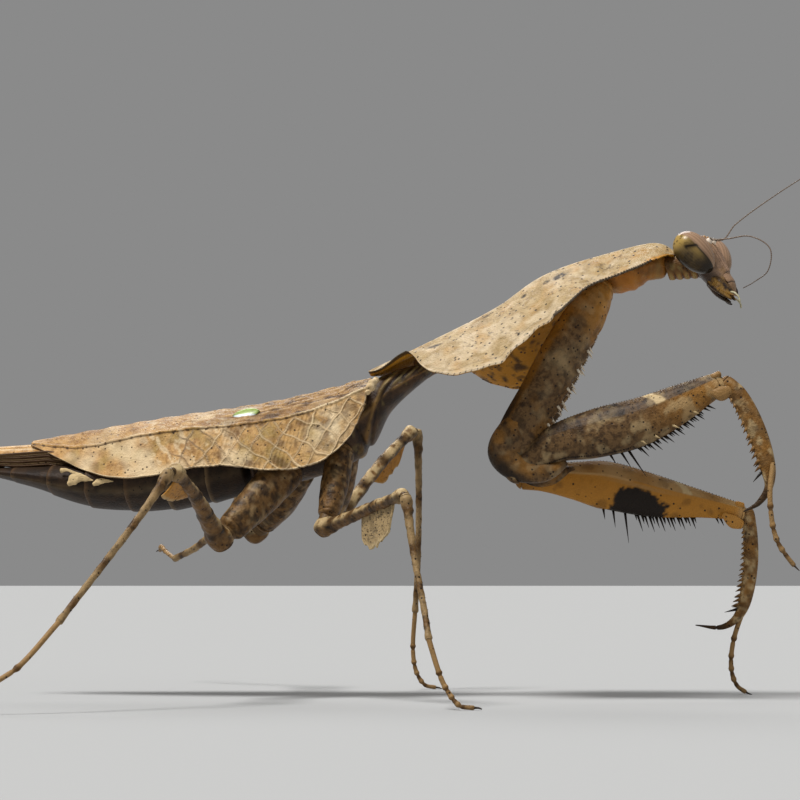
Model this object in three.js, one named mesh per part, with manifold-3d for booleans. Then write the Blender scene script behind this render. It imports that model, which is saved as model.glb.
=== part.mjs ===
// Dead leaf mantis, an adult female, standing with her right fore leg raised. A still, life-size model.
// Millimetres. +X runs from tail to head, +Y to the animal's left, +Z up. The floor is z = 0.
// Every hard plate or leg segment is its own closed body, parted from its neighbours by a thin cut.
import * as THREE from "three";
import Module from "manifold-3d";

const wasm = await Module();
wasm.setup();

// ---- Driving dimensions ----------------------------------------------------------------------
const GAP = 0.1; // the thin cut between neighbouring plates
const SHEET = 0.5; // thickness of shield, wings and leaf lobes
const FEELER = 0.27; // half-thickness of an antenna

// The ridge of the pronotum from neck to tail end, seen from the side (x, z).
const RIDGE = [
  [27.5, 44.1], [26.3, 44.8], [24.9, 44.9], [21.4, 44.1], [16.8, 42.8], [13.8, 41.5],
  [9.7, 38.7], [2, 34.9], [-3.4, 32.4],
];
const SHIELD_LENGTH = 29; // along the ridge, to the truncated rear edge
const SHIELD_FRONT_HALF = 4.1; // half-width over the fore coxae
const SHIELD_REAR_HALF = 9.9; // greatest half-width, at the rear third
const SHIELD_TAIL_HALF = 2; // half-width of the narrow lobe behind the rear edge
// Fall of a flange for each millimetre outwards, at each distance along the ridge.
const SHIELD_DROOP = [
  [0, 0.75], [2, 0.82], [4, 0.72], [6, 0.8], [8, 0.97], [9.2, 0.92], [11, 0.73], [13, 0.74],
  [16, 0.8], [18, 0.77], [20, 0.7], [22, 0.65], [26, 0.61], [40, 0.61],
];
const SHIELD_CREST = 0.6; // half-width over which the ridge is rounded off

// The body tube under the ridge: half-width, half-height, and how much fuller it is over the coxae.
const TUBE_HALF = 1.35;
const TUBE_DEEP = 1.15;
const TUBE_HUMP = 0.75;
const TUBE_HUMP_AT = 6; // along the ridge
const TUBE_HUMP_REACH = 4;
const NECK_RADIUS = 1.15;
const NECK_RIB = 0.12; // how far its folds stand out

// Trunk behind the pronotum: back line and belly line (x, z), and half-width along them.
const THORAX_BACK = [[3.5, 33], [0.5, 31.9], [-3.6, 30.9], [-7.7, 29.6], [-15.3, 27.3]];
const THORAX_BELLY = [[3.3, 32.3], [-0.8, 28.7], [-2.9, 24.9], [-6.7, 22.6], [-14.9, 20.4]];
const THORAX_HALF = [[0, 0.9], [0.25, 1.9], [0.5, 2.9], [0.75, 3.5], [1, 3.9]];
const ABDOMEN_BACK = [[-15.4, 27.2], [-24.5, 25.3], [-34.9, 23.5], [-43.6, 23.1]];
const ABDOMEN_BELLY = [[-15, 20.3], [-23.5, 18.7], [-31.3, 19], [-37.6, 21.1], [-43.6, 22.7]];
const ABDOMEN_HALF = [[0, 4], [0.35, 5.3], [0.65, 4.9], [0.85, 3.1], [1, 0.9]];
const ABDOMEN_SEGMENTS = 7;

// Right forewing at rest, by its x from root to tip: height of its inner edge, and where its main
// vein and its outer margin lie, as distance from the midline and as height.
const WING_ROOT = -2.9;
const WING_TIP = -37.7;
const WING_TOP = [[-3.3, 31.9], [-13.2, 29.7], [-24.5, 28.1], [-37.9, 25.9]];
const VEIN_OUT = [[-2.9, 3.3], [-11.6, 4.5], [-23.9, 4.5], [-32.5, 2.6], [-37.7, 0.9]];
const VEIN_UP = [
  [-2.9, 30.8], [-6.9, 29], [-12.6, 27.5], [-23.9, 26.4], [-32.5, 25.1], [-37.7, 25.7],
];
const EDGE_OUT = [[-2.8, 4], [-6.5, 6], [-11.3, 6.5], [-23.7, 6.3], [-30.1, 5], [-37.7, 1.2]];
const EDGE_UP = [
  [-2.8, 29.6], [-4.4, 25.8], [-7.3, 23.2], [-12.3, 22.5], [-17.4, 23], [-26.9, 21.8],
  [-31.2, 22.7], [-37.7, 25.5],
];
const WING_SLIT = 0.1; // from the midline to the inner edge of a folded wing
const HINDWING_ROOT = -9.1;
const HINDWING_TIP = -44.3;

// Head: its middle, and how far it is turned to the animal's right and its face tipped up.
const HEAD = new THREE.Vector3(30.6, 0, 43.4);
const HEAD_TURN = THREE.MathUtils.degToRad(20);
const HEAD_TIP = THREE.MathUtils.degToRad(25);
const EYE_OUT = 2.65; // middle of an eye from the middle of the head
const EYE_LONG = 2.45; // half-length
const EYE_SHORT = 1.65; // half-width
const PALP = 0.26; // half-thickness

// The head capsule from its top to the lip: height, half-width, half-depth and set forward.
const CAPSULE = [
  [2.35, 0.9, 0.5, -0.2], [2, 1.9, 1, -0.1], [1.2, 2.5, 1.35, 0], [0.2, 2.6, 1.45, 0],
  [-1.2, 2.1, 1.4, 0.1], [-2.6, 1.45, 1.2, 0.35], [-3.6, 1, 0.8, 0.5],
];
const JAWS = [[-3.5, 0.95, 0.8, 0.45], [-4.1, 0.85, 0.7, 0.55], [-4.7, 0.5, 0.45, 0.65]];

// Legs. Each segment is (x, y, z) points along its middle line with its half-depth at each point.
// "thin" is the ratio of its thickness to its depth.
const LEGS = {
  fore_right: {
    coxa: {
      path: [
        [20.5, -2.2, 40.4], [19.6, -2.9, 38.9], [17.4, -4, 35.2], [14.6, -4.7, 29.9],
        [12.2, -5, 25.5], [11.4, -5, 23.6],
      ],
      half: [1.3, 1.75, 2, 2, 2, 1.5], thin: 0.68,
    },
    femur: {
      path: [
        [11.9, -5, 22.2], [13.5, -5, 23.4], [16.4, -5, 25], [20.4, -5, 25.9], [24.3, -5, 26.9],
        [28.2, -4.9, 28.7], [31.7, -4.7, 30.6],
      ],
      half: [1.3, 1.35, 1.9, 2.45, 2.4, 1.9, 1.15], thin: 0.62,
    },
    tibia: {
      path: [
        [32.4, -4.6, 30.8], [33.8, -4.7, 29.5], [35.4, -4.9, 26.3], [36.5, -5, 22.7],
        [36.6, -5, 20.7], [35.6, -5, 19.1], [34.2, -5, 18.3],
      ],
      half: [0.7, 0.85, 0.9, 0.75, 0.45, 0.32, 0.12], thin: 0.75,
    },
    tarsus: {
      path: [
        [37.1, -5.9, 22.6], [36.7, -6.1, 20], [36.9, -6.1, 17.1], [37.4, -6.1, 15.3],
        [38.2, -6.1, 14], [38.9, -6.1, 13.1],
      ],
      half: [0.3, 0.3, 0.28, 0.28, 0.28, 0.26], thin: 1,
    },
  },
  fore_left: {
    coxa: {
      path: [
        [20.2, 2.2, 40.4], [19.1, 2.9, 38.9], [16.6, 4, 35], [13.8, 4.6, 29.6],
        [11.7, 4.9, 25.2], [11.2, 4.9, 23.4],
      ],
      half: [1.3, 1.75, 2, 2, 2, 1.5], thin: 0.68,
    },
    femur: {
      path: [
        [11.9, 4.9, 22.1], [13.9, 5.2, 22], [16.9, 5.6, 21.7], [20.1, 6.5, 21.2],
        [24.9, 7.5, 20.1], [29.8, 8.7, 19.3], [33.6, 9.8, 18.6],
      ],
      half: [1.3, 1.4, 1.9, 2.45, 2.2, 1.4, 0.85], thin: 0.62,
    },
    tibia: {
      path: [
        [34.3, 9.9, 18.6], [34.6, 10.3, 16.5], [34.6, 10.6, 13.2], [34, 11, 9.6],
        [33.1, 11.3, 7.8], [31.5, 11.5, 6.9], [29, 11.5, 7.1],
      ],
      half: [0.6, 0.7, 0.72, 0.62, 0.45, 0.32, 0.12], thin: 0.8,
    },
    tarsus: {
      path: [
        [34.1, 11.7, 9.3], [32.9, 12.1, 6.1], [32.5, 12.3, 3.8], [32.6, 12.4, 2.1],
        [33.1, 12.6, 0.9], [33.9, 12.7, 0.2],
      ],
      half: [0.3, 0.3, 0.28, 0.28, 0.28, 0.28], thin: 1,
    },
  },
  mid_right: {
    coxa: {
      path: [[-5.6, -2.6, 24.3], [-6, -4, 20.9], [-6.3, -5.3, 18.4]],
      half: [1.4, 1.4, 1.1], thin: 1,
    },
    femur: {
      path: [[-6.8, -5.9, 16.8], [-4.9, -8, 17.3], [-0.7, -13.6, 18.7], [3, -19.7, 19.7]],
      half: [1, 0.85, 0.75, 0.62], thin: 1,
    },
    tibia: {
      path: [[3.5, -20.4, 19.6], [4.4, -22.2, 14], [5.7, -24.4, 8.6], [6.2, -25.6, 6.4]],
      half: [0.55, 0.4, 0.36, 0.34], thin: 1,
    },
    tarsus: {
      path: [
        [6.3, -25.6, 5.9], [7.3, -25.9, 3], [8.1, -26.1, 1.5], [9.1, -26.2, 0.4],
        [10.3, -26.1, 0.2],
      ],
      half: [0.3, 0.28, 0.28, 0.3, 0.28], thin: 1,
    },
  },
  mid_left: {
    coxa: {
      path: [[-5.9, 2.6, 24.3], [-6.7, 3.9, 21.2], [-7.4, 5.3, 19]],
      half: [1.4, 1.4, 1.1], thin: 1,
    },
    femur: {
      path: [[-7.9, 5.7, 17.6], [-6.7, 7.3, 19], [-3.8, 13.2, 24], [-1.4, 18.7, 27.6]],
      half: [1, 0.9, 0.85, 0.65], thin: 1,
    },
    tibia: {
      path: [[-0.9, 19.6, 27.6], [-0.8, 20.1, 22], [-1, 20.9, 14], [-1.4, 21.6, 8.4]],
      half: [0.55, 0.45, 0.38, 0.34], thin: 1,
    },
    tarsus: {
      path: [
        [-1.4, 21.7, 7.9], [-1.7, 22.1, 4.4], [-1.4, 22.3, 2], [-0.5, 22.6, 0.5],
        [0.6, 22.8, 0.2],
      ],
      half: [0.3, 0.28, 0.28, 0.3, 0.28], thin: 1,
    },
  },
  hind_right: {
    coxa: {
      path: [[-11.3, -2.9, 22.6], [-13.4, -4.9, 19.8], [-15.6, -7.2, 17]],
      half: [2.1, 1.9, 1.5], thin: 1,
    },
    femur: {
      path: [[-16.6, -8.2, 15.6], [-17.2, -10.3, 16.6], [-17.9, -17, 19.4], [-17.9, -24, 21.6]],
      half: [1.25, 1.05, 0.75, 0.65], thin: 1,
    },
    tibia: {
      path: [[-18.2, -24.9, 21.5], [-19.9, -28.5, 17.6], [-25.1, -36.6, 8]],
      half: [0.55, 0.45, 0.36], thin: 1,
    },
    tarsus: {
      path: [
        [-25.3, -37.1, 7.6], [-27.9, -39.1, 4.2], [-29.9, -40.6, 2.6], [-31.5, -41.9, 1],
        [-32.8, -42.8, 0.2], [-33.9, -43.5, 0.2],
      ],
      half: [0.3, 0.28, 0.28, 0.28, 0.3, 0.28], thin: 1,
    },
  },
  hind_left: {
    coxa: {
      path: [[-11, 2.7, 22.7], [-13, 4.4, 19.8], [-14.8, 5.8, 17.9]],
      half: [2, 1.9, 1.5], thin: 1,
    },
    femur: {
      path: [[-15.9, 6.6, 16.7], [-16.9, 8.7, 17.2], [-18.5, 14.7, 19.6], [-19.5, 20.8, 21.4]],
      half: [1.25, 1.05, 0.8, 0.65], thin: 1,
    },
    tibia: {
      path: [[-20.3, 21.9, 21.1], [-22.9, 24.6, 18.3], [-26.8, 29.1, 15.6], [-30.3, 32.7, 14.2]],
      half: [0.55, 0.45, 0.42, 0.36], thin: 1,
    },
    tarsus: {
      path: [[-30.7, 33.1, 14.2], [-31.9, 35, 15], [-32.9, 37.1, 15.6], [-33.5, 39.1, 15.2]],
      half: [0.3, 0.28, 0.28, 0.26], thin: 1,
    },
  },
};

// Leaf lobes under the four rear femora: where along the femur each starts and ends, and how far
// it hangs.
const LOBES = {
  mid_right: { from: 0.56, to: 0.86, hang: 4.3 },
  mid_left: { from: 0.5, to: 0.85, hang: 2.6 },
  hind_right: { from: 0.66, to: 0.96, hang: 2.8 },
  hind_left: { from: 0.66, to: 0.96, hang: 2.8 },
};

// ---- Materials -------------------------------------------------------------------------------
const finish = (color, roughness) => new THREE.MeshStandardMaterial({ color, roughness });
const LEAF = finish(0xc8aa82, 0.6);
const WING = finish(0xb98c5a, 0.55);
const PLATE = finish(0x4a3424, 0.5);
const LEG = finish(0x8a7358, 0.6);
const FACE = finish(0x9a7a5a, 0.5);
const EYE = finish(0x7d6f4e, 0.25);

// ---- Shapes ----------------------------------------------------------------------------------
const point = (p) => new THREE.Vector3(p[0], p[1], p[2]);
const sidePoint = (p) => new THREE.Vector3(p[0], 0, p[1]);
const smooth = (a, b, x) => THREE.MathUtils.smoothstep(x, a, b);

// A smooth value between (x, value) pairs, which may run up or down in x.
function track(pairs) {
  const rows = [...pairs].sort((a, b) => a[0] - b[0]);
  const slope = rows.map((_, i) => {
    const a = rows[Math.max(i - 1, 0)];
    const b = rows[Math.min(i + 1, rows.length - 1)];
    return (b[1] - a[1]) / (b[0] - a[0]);
  });
  return (x) => {
    let i = 0;
    while (i < rows.length - 2 && x > rows[i + 1][0]) i++;
    const [x0, y0] = rows[i];
    const [x1, y1] = rows[i + 1];
    const w = x1 - x0;
    const t = THREE.MathUtils.clamp((x - x0) / w, 0, 1);
    return (
      y0 * (2 * t ** 3 - 3 * t ** 2 + 1) + slope[i] * w * (t ** 3 - 2 * t ** 2 + t) +
      y1 * (3 * t ** 2 - 2 * t ** 3) + slope[i + 1] * w * (t ** 3 - t ** 2)
    );
  };
}

// A closed body from corner points and triangles, turned to face outwards.
function solid(points, faces) {
  const build = (triangles) =>
    new wasm.Manifold(
      new wasm.Mesh({
        numProp: 3,
        vertProperties: new Float32Array(points.flatMap((p) => [p.x, p.y, p.z])),
        triVerts: new Uint32Array(triangles.flat()),
      }),
    );
  const made = build(faces);
  return made.volume() > 0 ? made : build(faces.map(([a, b, c]) => [a, c, b]));
}

// A body through closed rings of equally many points, with a fan over each end ring.
function loft(rings) {
  const n = rings[0].length;
  const points = rings.flat();
  const faces = [];
  for (let i = 0; i + 1 < rings.length; i++)
    for (let j = 0; j < n; j++) {
      const a = i * n + j;
      const b = i * n + ((j + 1) % n);
      faces.push([a, b, a + n], [b, b + n, a + n]);
    }
  for (const [first, turn] of [[0, 1], [(rings.length - 1) * n, -1]]) {
    const middle = new THREE.Vector3();
    for (let j = 0; j < n; j++) middle.addScaledVector(points[first + j], 1 / n);
    points.push(middle);
    for (let j = 0; j < n; j++) {
      const face = [first + j, points.length - 1, first + ((j + 1) % n)];
      faces.push(turn > 0 ? face : face.reverse());
    }
  }
  return solid(points, faces);
}

// A ring of points round a centre, in the plane of two half-axes.
function ring(centre, across, up, sides) {
  return Array.from({ length: sides }, (_, k) => {
    const a = (2 * Math.PI * k) / sides;
    return centre.clone().addScaledVector(across, Math.cos(a)).addScaledVector(up, Math.sin(a));
  });
}

// A trunk between a back line and a belly line, of which the stretch from t0 to t1 is made.
function trunk(back, belly, half, t0, t1, { grow = 0, steps = 3, sides = 12, swell = 0 } = {}) {
  const backLine = new THREE.CatmullRomCurve3(back.map(sidePoint));
  const bellyLine = new THREE.CatmullRomCurve3(belly.map(sidePoint));
  const halfWidth = track(half);
  return loft(
    Array.from({ length: steps + 1 }, (_, i) => {
      const f = i / steps;
      const reach = grow * (2 * f - 1);
      const t = THREE.MathUtils.clamp(t0 + (t1 - t0) * f, 0, 1);
      const top = backLine.getPoint(t);
      const low = bellyLine.getPoint(t);
      const along = backLine.getTangent(t).add(bellyLine.getTangent(t)).normalize();
      const centre = top.clone().add(low).multiplyScalar(0.5).addScaledVector(along, reach);
      const up = top.clone().sub(low).multiplyScalar(0.5);
      const fuller = 1 + swell * Math.sin(Math.PI * f);
      up.setLength(up.length() * fuller + grow);
      return ring(centre, new THREE.Vector3(0, halfWidth(t) * fuller + grow, 0), up, sides);
    }),
  );
}

// A limb segment: an oval tube with rounded ends through points, deep in the plane of its bend.
function limb({ path, half, thin }, grow = 0, sides = 8, deepDirection = new THREE.Vector3(0, 0, 1)) {
  const line = new THREE.CatmullRomCurve3(path.map(point), false, "centripetal");
  const last = path.length - 1;
  const depth = track(half.map((h, i) => [i / last, h]));
  const steps = last + 1;
  const rings = [];
  const put = (t, ahead, shrink) => {
    const tangent = line.getTangent(t);
    const across = new THREE.Vector3().crossVectors(tangent, deepDirection).normalize();
    const deep = new THREE.Vector3().crossVectors(across, tangent);
    const h = depth(t) + grow;
    const centre = line.getPoint(t).addScaledVector(tangent, ahead * h);
    const flat = across.multiplyScalar(h * thin * shrink);
    rings.push(ring(centre, flat, deep.multiplyScalar(h * shrink), sides));
  };
  put(0, -0.7, 0.55);
  for (let i = 0; i <= steps; i++) put(i / steps, 0, 1);
  put(1, 0.7, 0.55);
  return loft(rings);
}

// A three-sided spine from its root to its point.
function spine(root, tip, half) {
  const along = tip.clone().sub(root).normalize();
  const side = new THREE.Vector3(0, 1, 0);
  const deep = new THREE.Vector3().crossVectors(side, along).normalize().multiplyScalar(half);
  return loft([
    ring(root, side.clone().multiplyScalar(half), deep, 3),
    ring(tip, side.multiplyScalar(half * 0.2), deep.multiplyScalar(0.2), 3),
  ]);
}

// A sheet of even thickness under a surface of two parameters, each from 0 to 1.
function sheet(surface, across, down, thickness, grow = 0) {
  const top = [];
  const low = [];
  const step = 1e-3;
  for (let i = 0; i <= across; i++)
    for (let j = 0; j <= down; j++) {
      const u = i / across;
      const v = j / down;
      const here = surface(u, v);
      const du = surface(Math.min(u + step, 1), v).sub(surface(Math.max(u - step, 0), v));
      const dv = surface(u, Math.min(v + step, 1)).sub(surface(u, Math.max(v - step, 0)));
      const normal = new THREE.Vector3().crossVectors(du, dv).normalize();
      if (normal.z < 0 || (Math.abs(normal.z) < 1e-6 && normal.x < 0)) normal.negate();
      top.push(here.clone().addScaledVector(normal, grow));
      low.push(here.clone().addScaledVector(normal, -thickness - grow));
    }
  const faces = [];
  const n = down + 1;
  const under = top.length;
  for (let i = 0; i < across; i++)
    for (let j = 0; j < down; j++) {
      const a = i * n + j;
      faces.push([a, a + n, a + 1], [a + 1, a + n, a + n + 1]);
      const b = under + a;
      faces.push([b, b + 1, b + n], [b + 1, b + n + 1, b + n]);
    }
  const rim = [];
  for (let i = 0; i < across; i++) rim.push([i * n, (i + 1) * n]);
  for (let j = 0; j < down; j++) rim.push([across * n + j, across * n + j + 1]);
  for (let i = across; i > 0; i--) rim.push([i * n + down, (i - 1) * n + down]);
  for (let j = down; j > 0; j--) rim.push([j, j - 1]);
  for (const [a, b] of rim) faces.push([a, under + a, b], [b, under + a, under + b]);
  return solid([...top, ...low], faces);
}

// ---- Pieces ----------------------------------------------------------------------------------
const mantis = new THREE.Group();
const makers = {};

// Adds a piece. make(grow) gives its body, made fuller all round by grow; it is cut clear of the
// pieces named after it, and crumbs left by the cut are dropped.
function piece(name, material, make, ...clearOf) {
  makers[name] = make;
  let shape = make(0);
  for (const other of clearOf) shape = shape.subtract(makers[other](GAP));
  const whole = shape.decompose().reduce((a, b) => (a.volume() > b.volume() ? a : b));
  const mesh = whole.getMesh();
  const geometry = new THREE.BufferGeometry();
  const position = new Float32Array(mesh.numVert * 3);
  for (let i = 0; i < mesh.numVert; i++)
    position.set(mesh.vertProperties.subarray(i * mesh.numProp, i * mesh.numProp + 3), i * 3);
  geometry.setAttribute("position", new THREE.BufferAttribute(position, 3));
  geometry.setIndex(new THREE.BufferAttribute(mesh.triVerts, 1));
  geometry.computeVertexNormals();
  const made = new THREE.Mesh(geometry, material);
  made.name = name;
  mantis.add(made);
}

// Everything that stands ends flat on the floor.
function onFloor(shape) {
  const below = new THREE.BoxGeometry(200, 200, 10).translate(0, 0, -5);
  const at = below.attributes.position;
  const corners = new Map();
  const points = [];
  const index = [];
  for (let i = 0; i < at.count; i++) {
    const key = [at.getX(i), at.getY(i), at.getZ(i)].join();
    if (!corners.has(key)) {
      corners.set(key, points.length);
      points.push(new THREE.Vector3().fromBufferAttribute(at, i));
    }
    index.push(corners.get(key));
  }
  const faces = [];
  for (let i = 0; i < below.index.count; i += 3)
    faces.push([0, 1, 2].map((k) => index[below.index.getX(i + k)]));
  return shape.subtract(solid(points, faces));
}

// Pronotum: a roof of two leaf-like flanges on either side of its ridge.
const ridge = new THREE.CatmullRomCurve3(RIDGE.map(sidePoint));
const RIDGE_LENGTH = ridge.getLength();

function ridgeFrame(s) {
  const t = THREE.MathUtils.clamp(s / RIDGE_LENGTH, 0, 1);
  const tangent = ridge.getTangentAt(t);
  return { at: ridge.getPointAt(t), down: new THREE.Vector3(-tangent.z, 0, tangent.x) };
}

function shieldHalf(s) {
  const front = 0.9 + (SHIELD_FRONT_HALF - 0.9) * smooth(0, 3.5, s);
  const spread = SHIELD_REAR_HALF - SHIELD_FRONT_HALF;
  const full = front + spread * (0.67 * smooth(8, 12.2, s) + 0.33 * smooth(15.5, 21.5, s));
  const rounding = Math.max(0, 1 - (Math.max(0, s - 21.8) / (SHIELD_LENGTH - 21.8)) ** 2) ** 0.6;
  return Math.max(full * rounding, SHIELD_TAIL_HALF);
}

// The way down from the ridge, held nearly upright where its front end dips to the neck.
function steadyFrame(s) {
  const { at, down } = ridgeFrame(s);
  const share = smooth(1, 6, s);
  down.multiplyScalar(share).addScaledVector(new THREE.Vector3(-0.12, 0, -1), 1 - share);
  return { at, down: down.normalize() };
}

const shieldDroop = track(SHIELD_DROOP);

function shieldSurface(u, v) {
  const s = u * (RIDGE_LENGTH - 0.3);
  const out = (2 * v - 1) * shieldHalf(s);
  const { at, down } = steadyFrame(s);
  const outwards = Math.hypot(out, SHIELD_CREST) - SHIELD_CREST;
  const droop = shieldDroop(s) * outwards * (1 - smooth(27.5, 30.5, s));
  return at.addScaledVector(down, droop).add(new THREE.Vector3(0, out, 0));
}
piece("pronotum_shield", LEAF, (grow) => sheet(shieldSurface, 16, 8, SHEET, grow));

// Wings: each forewing is a roof slope that breaks at its main vein and hangs down the side. The
// folded hindwings lie under them and reach past their tips.
const wingTop = track(WING_TOP);
const veinOut = track(VEIN_OUT);
const veinUp = track(VEIN_UP);
const edgeOut = track(EDGE_OUT);
const edgeUp = track(EDGE_UP);

// Height of the wing's upper side between its inner edge and its main vein, f from 0 to 1.
const roof = (x, f) => wingTop(x) + (veinUp(x) - wingTop(x)) * f ** 1.5;

function forewingSurface(way) {
  return (u, v) => {
    const x = WING_ROOT + (WING_TIP - WING_ROOT) * u ** 1.35;
    if (v < 0.5) {
      const out = WING_SLIT + (veinOut(x) - WING_SLIT) * v * 2;
      return new THREE.Vector3(x, way * out, roof(x, v * 2));
    }
    const f = v * 2 - 1;
    const out = veinOut(x) + (edgeOut(x) - veinOut(x)) * f;
    return new THREE.Vector3(x, way * out, veinUp(x) + (edgeUp(x) - veinUp(x)) * f);
  };
}

function hindwingSurface(way) {
  return (u, v) => {
    const x = HINDWING_ROOT + (HINDWING_TIP - HINDWING_ROOT) * u;
    const under = Math.max(x, WING_TIP + 2);
    const taper = Math.sqrt(1 - Math.max(0, (-30 - x) / 15) ** 2);
    const half = 0.5 + (veinOut(Math.max(x, -30)) - 1.3) * taper;
    const out = WING_SLIT + v * half;
    const top = roof(under, out / veinOut(under)) - 0.16 * (under - x);
    return new THREE.Vector3(x, way * out, top - SHEET * 1.15 - GAP - 0.1);
  };
}

for (const [side, way] of [["right", -1], ["left", 1]]) {
  piece(`forewing_${side}`, WING, (grow) => sheet(forewingSurface(way), 12, 6, SHEET, grow),
    "pronotum_shield");
  piece(`hindwing_${side}`, WING, (grow) => sheet(hindwingSurface(way), 9, 3, SHEET, grow),
    `forewing_${side}`);
}
const WINGS = ["forewing_right", "forewing_left", "hindwing_right", "hindwing_left"];

// Prothorax: the slim body tube that hangs under the ridge.
piece("prothorax", PLATE, (grow) => {
  const rings = [];
  const last = 11;
  for (let i = 0; i <= last; i++) {
    const s = 0.6 + (RIDGE_LENGTH - 2.4) * (i / last);
    const { at, down } = steadyFrame(s);
    const hump = TUBE_HUMP * Math.exp(-(((s - TUBE_HUMP_AT) / TUBE_HUMP_REACH) ** 2));
    const ends = i === 0 || i === last ? 0.8 : 1;
    const wide = (TUBE_HALF + hump + grow) * ends;
    const deep = (TUBE_DEEP + hump + grow) * ends;
    const centre = at.addScaledVector(down, SHEET + 0.35 + TUBE_DEEP + hump);
    rings.push(ring(centre, new THREE.Vector3(0, wide, 0), down.multiplyScalar(deep), 10));
  }
  return loft(rings);
}, "pronotum_shield", ...WINGS);

// Meso- and metathorax: the deep trunk that carries the wings and the four rear legs.
const thorax = (t0, t1) => (grow) => trunk(THORAX_BACK, THORAX_BELLY, THORAX_HALF, t0, t1, { grow });
piece("mesothorax", PLATE, thorax(0, 0.5), "prothorax", "pronotum_shield", ...WINGS);
piece("metathorax", PLATE, thorax(0.5, 1), "mesothorax", ...WINGS);

// Abdomen: plates in a row, each a little fuller in its middle.
for (let i = 0; i < ABDOMEN_SEGMENTS; i++) {
  const from = i / ABDOMEN_SEGMENTS;
  const to = (i + 1) / ABDOMEN_SEGMENTS;
  const make = (grow) =>
    trunk(ABDOMEN_BACK, ABDOMEN_BELLY, ABDOMEN_HALF, from, to, { grow, steps: 2, swell: 0.025 });
  piece(`abdomen_segment_${i + 1}`, PLATE, make, i ? `abdomen_segment_${i}` : "metathorax", ...WINGS);
}

for (const [side, way] of [["right", -1], ["left", 1]]) {
  const path = [[-41.6, way * 1.5, 23.5], [-43.2, way * 2.1, 23.4], [-45, way * 2.5, 23]];
  piece(`cercus_${side}`, LEG, (grow) => limb({ path, half: [0.45, 0.4, 0.26], thin: 1 }, grow, 6),
    `abdomen_segment_${ABDOMEN_SEGMENTS}`, `abdomen_segment_${ABDOMEN_SEGMENTS - 1}`, ...WINGS);
}

// Head: its own axes are left, face-forward and up.
const left = new THREE.Vector3(Math.sin(HEAD_TURN), Math.cos(HEAD_TURN), 0);
const level = new THREE.Vector3(Math.cos(HEAD_TURN), -Math.sin(HEAD_TURN), 0);
const forward = level.clone().multiplyScalar(Math.cos(HEAD_TIP)).setZ(Math.sin(HEAD_TIP));
const upward = new THREE.Vector3().crossVectors(forward, left).normalize();
if (upward.z < 0) upward.negate();
const onHead = (a, b, c) =>
  HEAD.clone().addScaledVector(left, a).addScaledVector(forward, b).addScaledVector(upward, c);

function eye(way) {
  return (grow) => {
    const long = upward.clone().negate().addScaledVector(forward, 0.25);
    long.addScaledVector(left, -way * 0.5).normalize();
    const one = new THREE.Vector3().crossVectors(long, forward).normalize();
    const two = new THREE.Vector3().crossVectors(long, one);
    const rings = [];
    for (let i = 1; i < 7; i++) {
      const a = (Math.PI * i) / 7;
      const r = (EYE_SHORT + grow) * Math.sin(a) * (1 + 0.12 * Math.cos(a));
      const centre = onHead(way * EYE_OUT, 0, 0.35);
      centre.addScaledVector(long, -(EYE_LONG + grow) * Math.cos(a));
      rings.push(ring(centre, one.clone().multiplyScalar(r), two.clone().multiplyScalar(r), 10));
    }
    return loft(rings);
  };
}
piece("eye_right", EYE, eye(-1));
piece("eye_left", EYE, eye(1));

// A body through level ovals down the head, made longer at both ends by grow.
function headStack(rows, grow, sides) {
  const last = rows.length - 1;
  return loft(rows.map(([height, half, deep, ahead], i) => {
    const reach = i === 0 ? grow : i === last ? -grow : 0;
    return ring(onHead(0, ahead, height + reach), left.clone().multiplyScalar(half + grow),
      forward.clone().multiplyScalar(deep + grow), sides);
  }));
}
piece("head", FACE, (grow) => headStack(CAPSULE, grow, 10), "eye_right", "eye_left");

// Mouthparts: jaws with two pairs of palps.
piece("mouthparts", FACE, (grow) => {
  let shape = headStack(JAWS, grow, 10);
  for (const way of [-1, 1])
    for (const joints of [
      [onHead(way * 0.6, 0.7, -4.1), onHead(way * 1.4, 1.3, -4.4), onHead(way * 1.4, 1.6, -5.4)],
      [onHead(way * 0.4, 0.3, -4.3), onHead(way * 0.7, 0, -5), onHead(way * 0.6, 0.5, -5.5)],
    ]) {
      const path = joints.map((p) => p.toArray());
      shape = shape.add(limb({ path, half: [PALP, PALP, PALP], thin: 1 }, grow, 4));
    }
  return shape;
}, "head");

// Neck: a short ribbed tube.
piece("neck", PLATE, (grow) => {
  const front = onHead(0.2, -1, -0.3);
  const rear = new THREE.Vector3(27.1, 0, 42.7);
  const rings = [];
  for (let i = 0; i <= 6; i++) {
    const centre = rear.clone().lerp(front, i / 6);
    const r = NECK_RADIUS + (i % 2 ? NECK_RIB : 0) + grow;
    const across = new THREE.Vector3(0.2, 1, 0).multiplyScalar(r);
    rings.push(ring(centre, across, new THREE.Vector3(-0.3, 0, 1).multiplyScalar(r), 10));
  }
  return loft(rings);
}, "head", "eye_right", "pronotum_shield", "prothorax");

// Antennae: the left one sweeps forward and up, the right one curls back towards the mouth.
const ANTENNAE = {
  left: [
    onHead(0.45, 1.1, 1.3).toArray(), [32.4, 0.1, 45.4], [33.5, 0.1, 46.8], [37.4, 0, 49.6],
    [42, -0.1, 52.5], [47.8, 0, 56.5],
  ],
  right: [
    onHead(-0.45, 1.1, 1.3).toArray(), [32.7, -1.5, 45.2], [35, -3.1, 45.2], [36.9, -4.5, 43.8],
    [36.7, -5, 41.6], [35.3, -4.8, 40.5], [34.3, -4.4, 40],
  ],
};
for (const [side, path] of Object.entries(ANTENNAE)) {
  const half = path.map(() => FEELER);
  const deepDirection = new THREE.Vector3(0, 1, 0.2);
  piece(`antenna_${side}`, LEG, (grow) => limb({ path, half, thin: 1 }, grow, 5, deepDirection),
    "head", "eye_right", "eye_left", "mouthparts");
}

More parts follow.
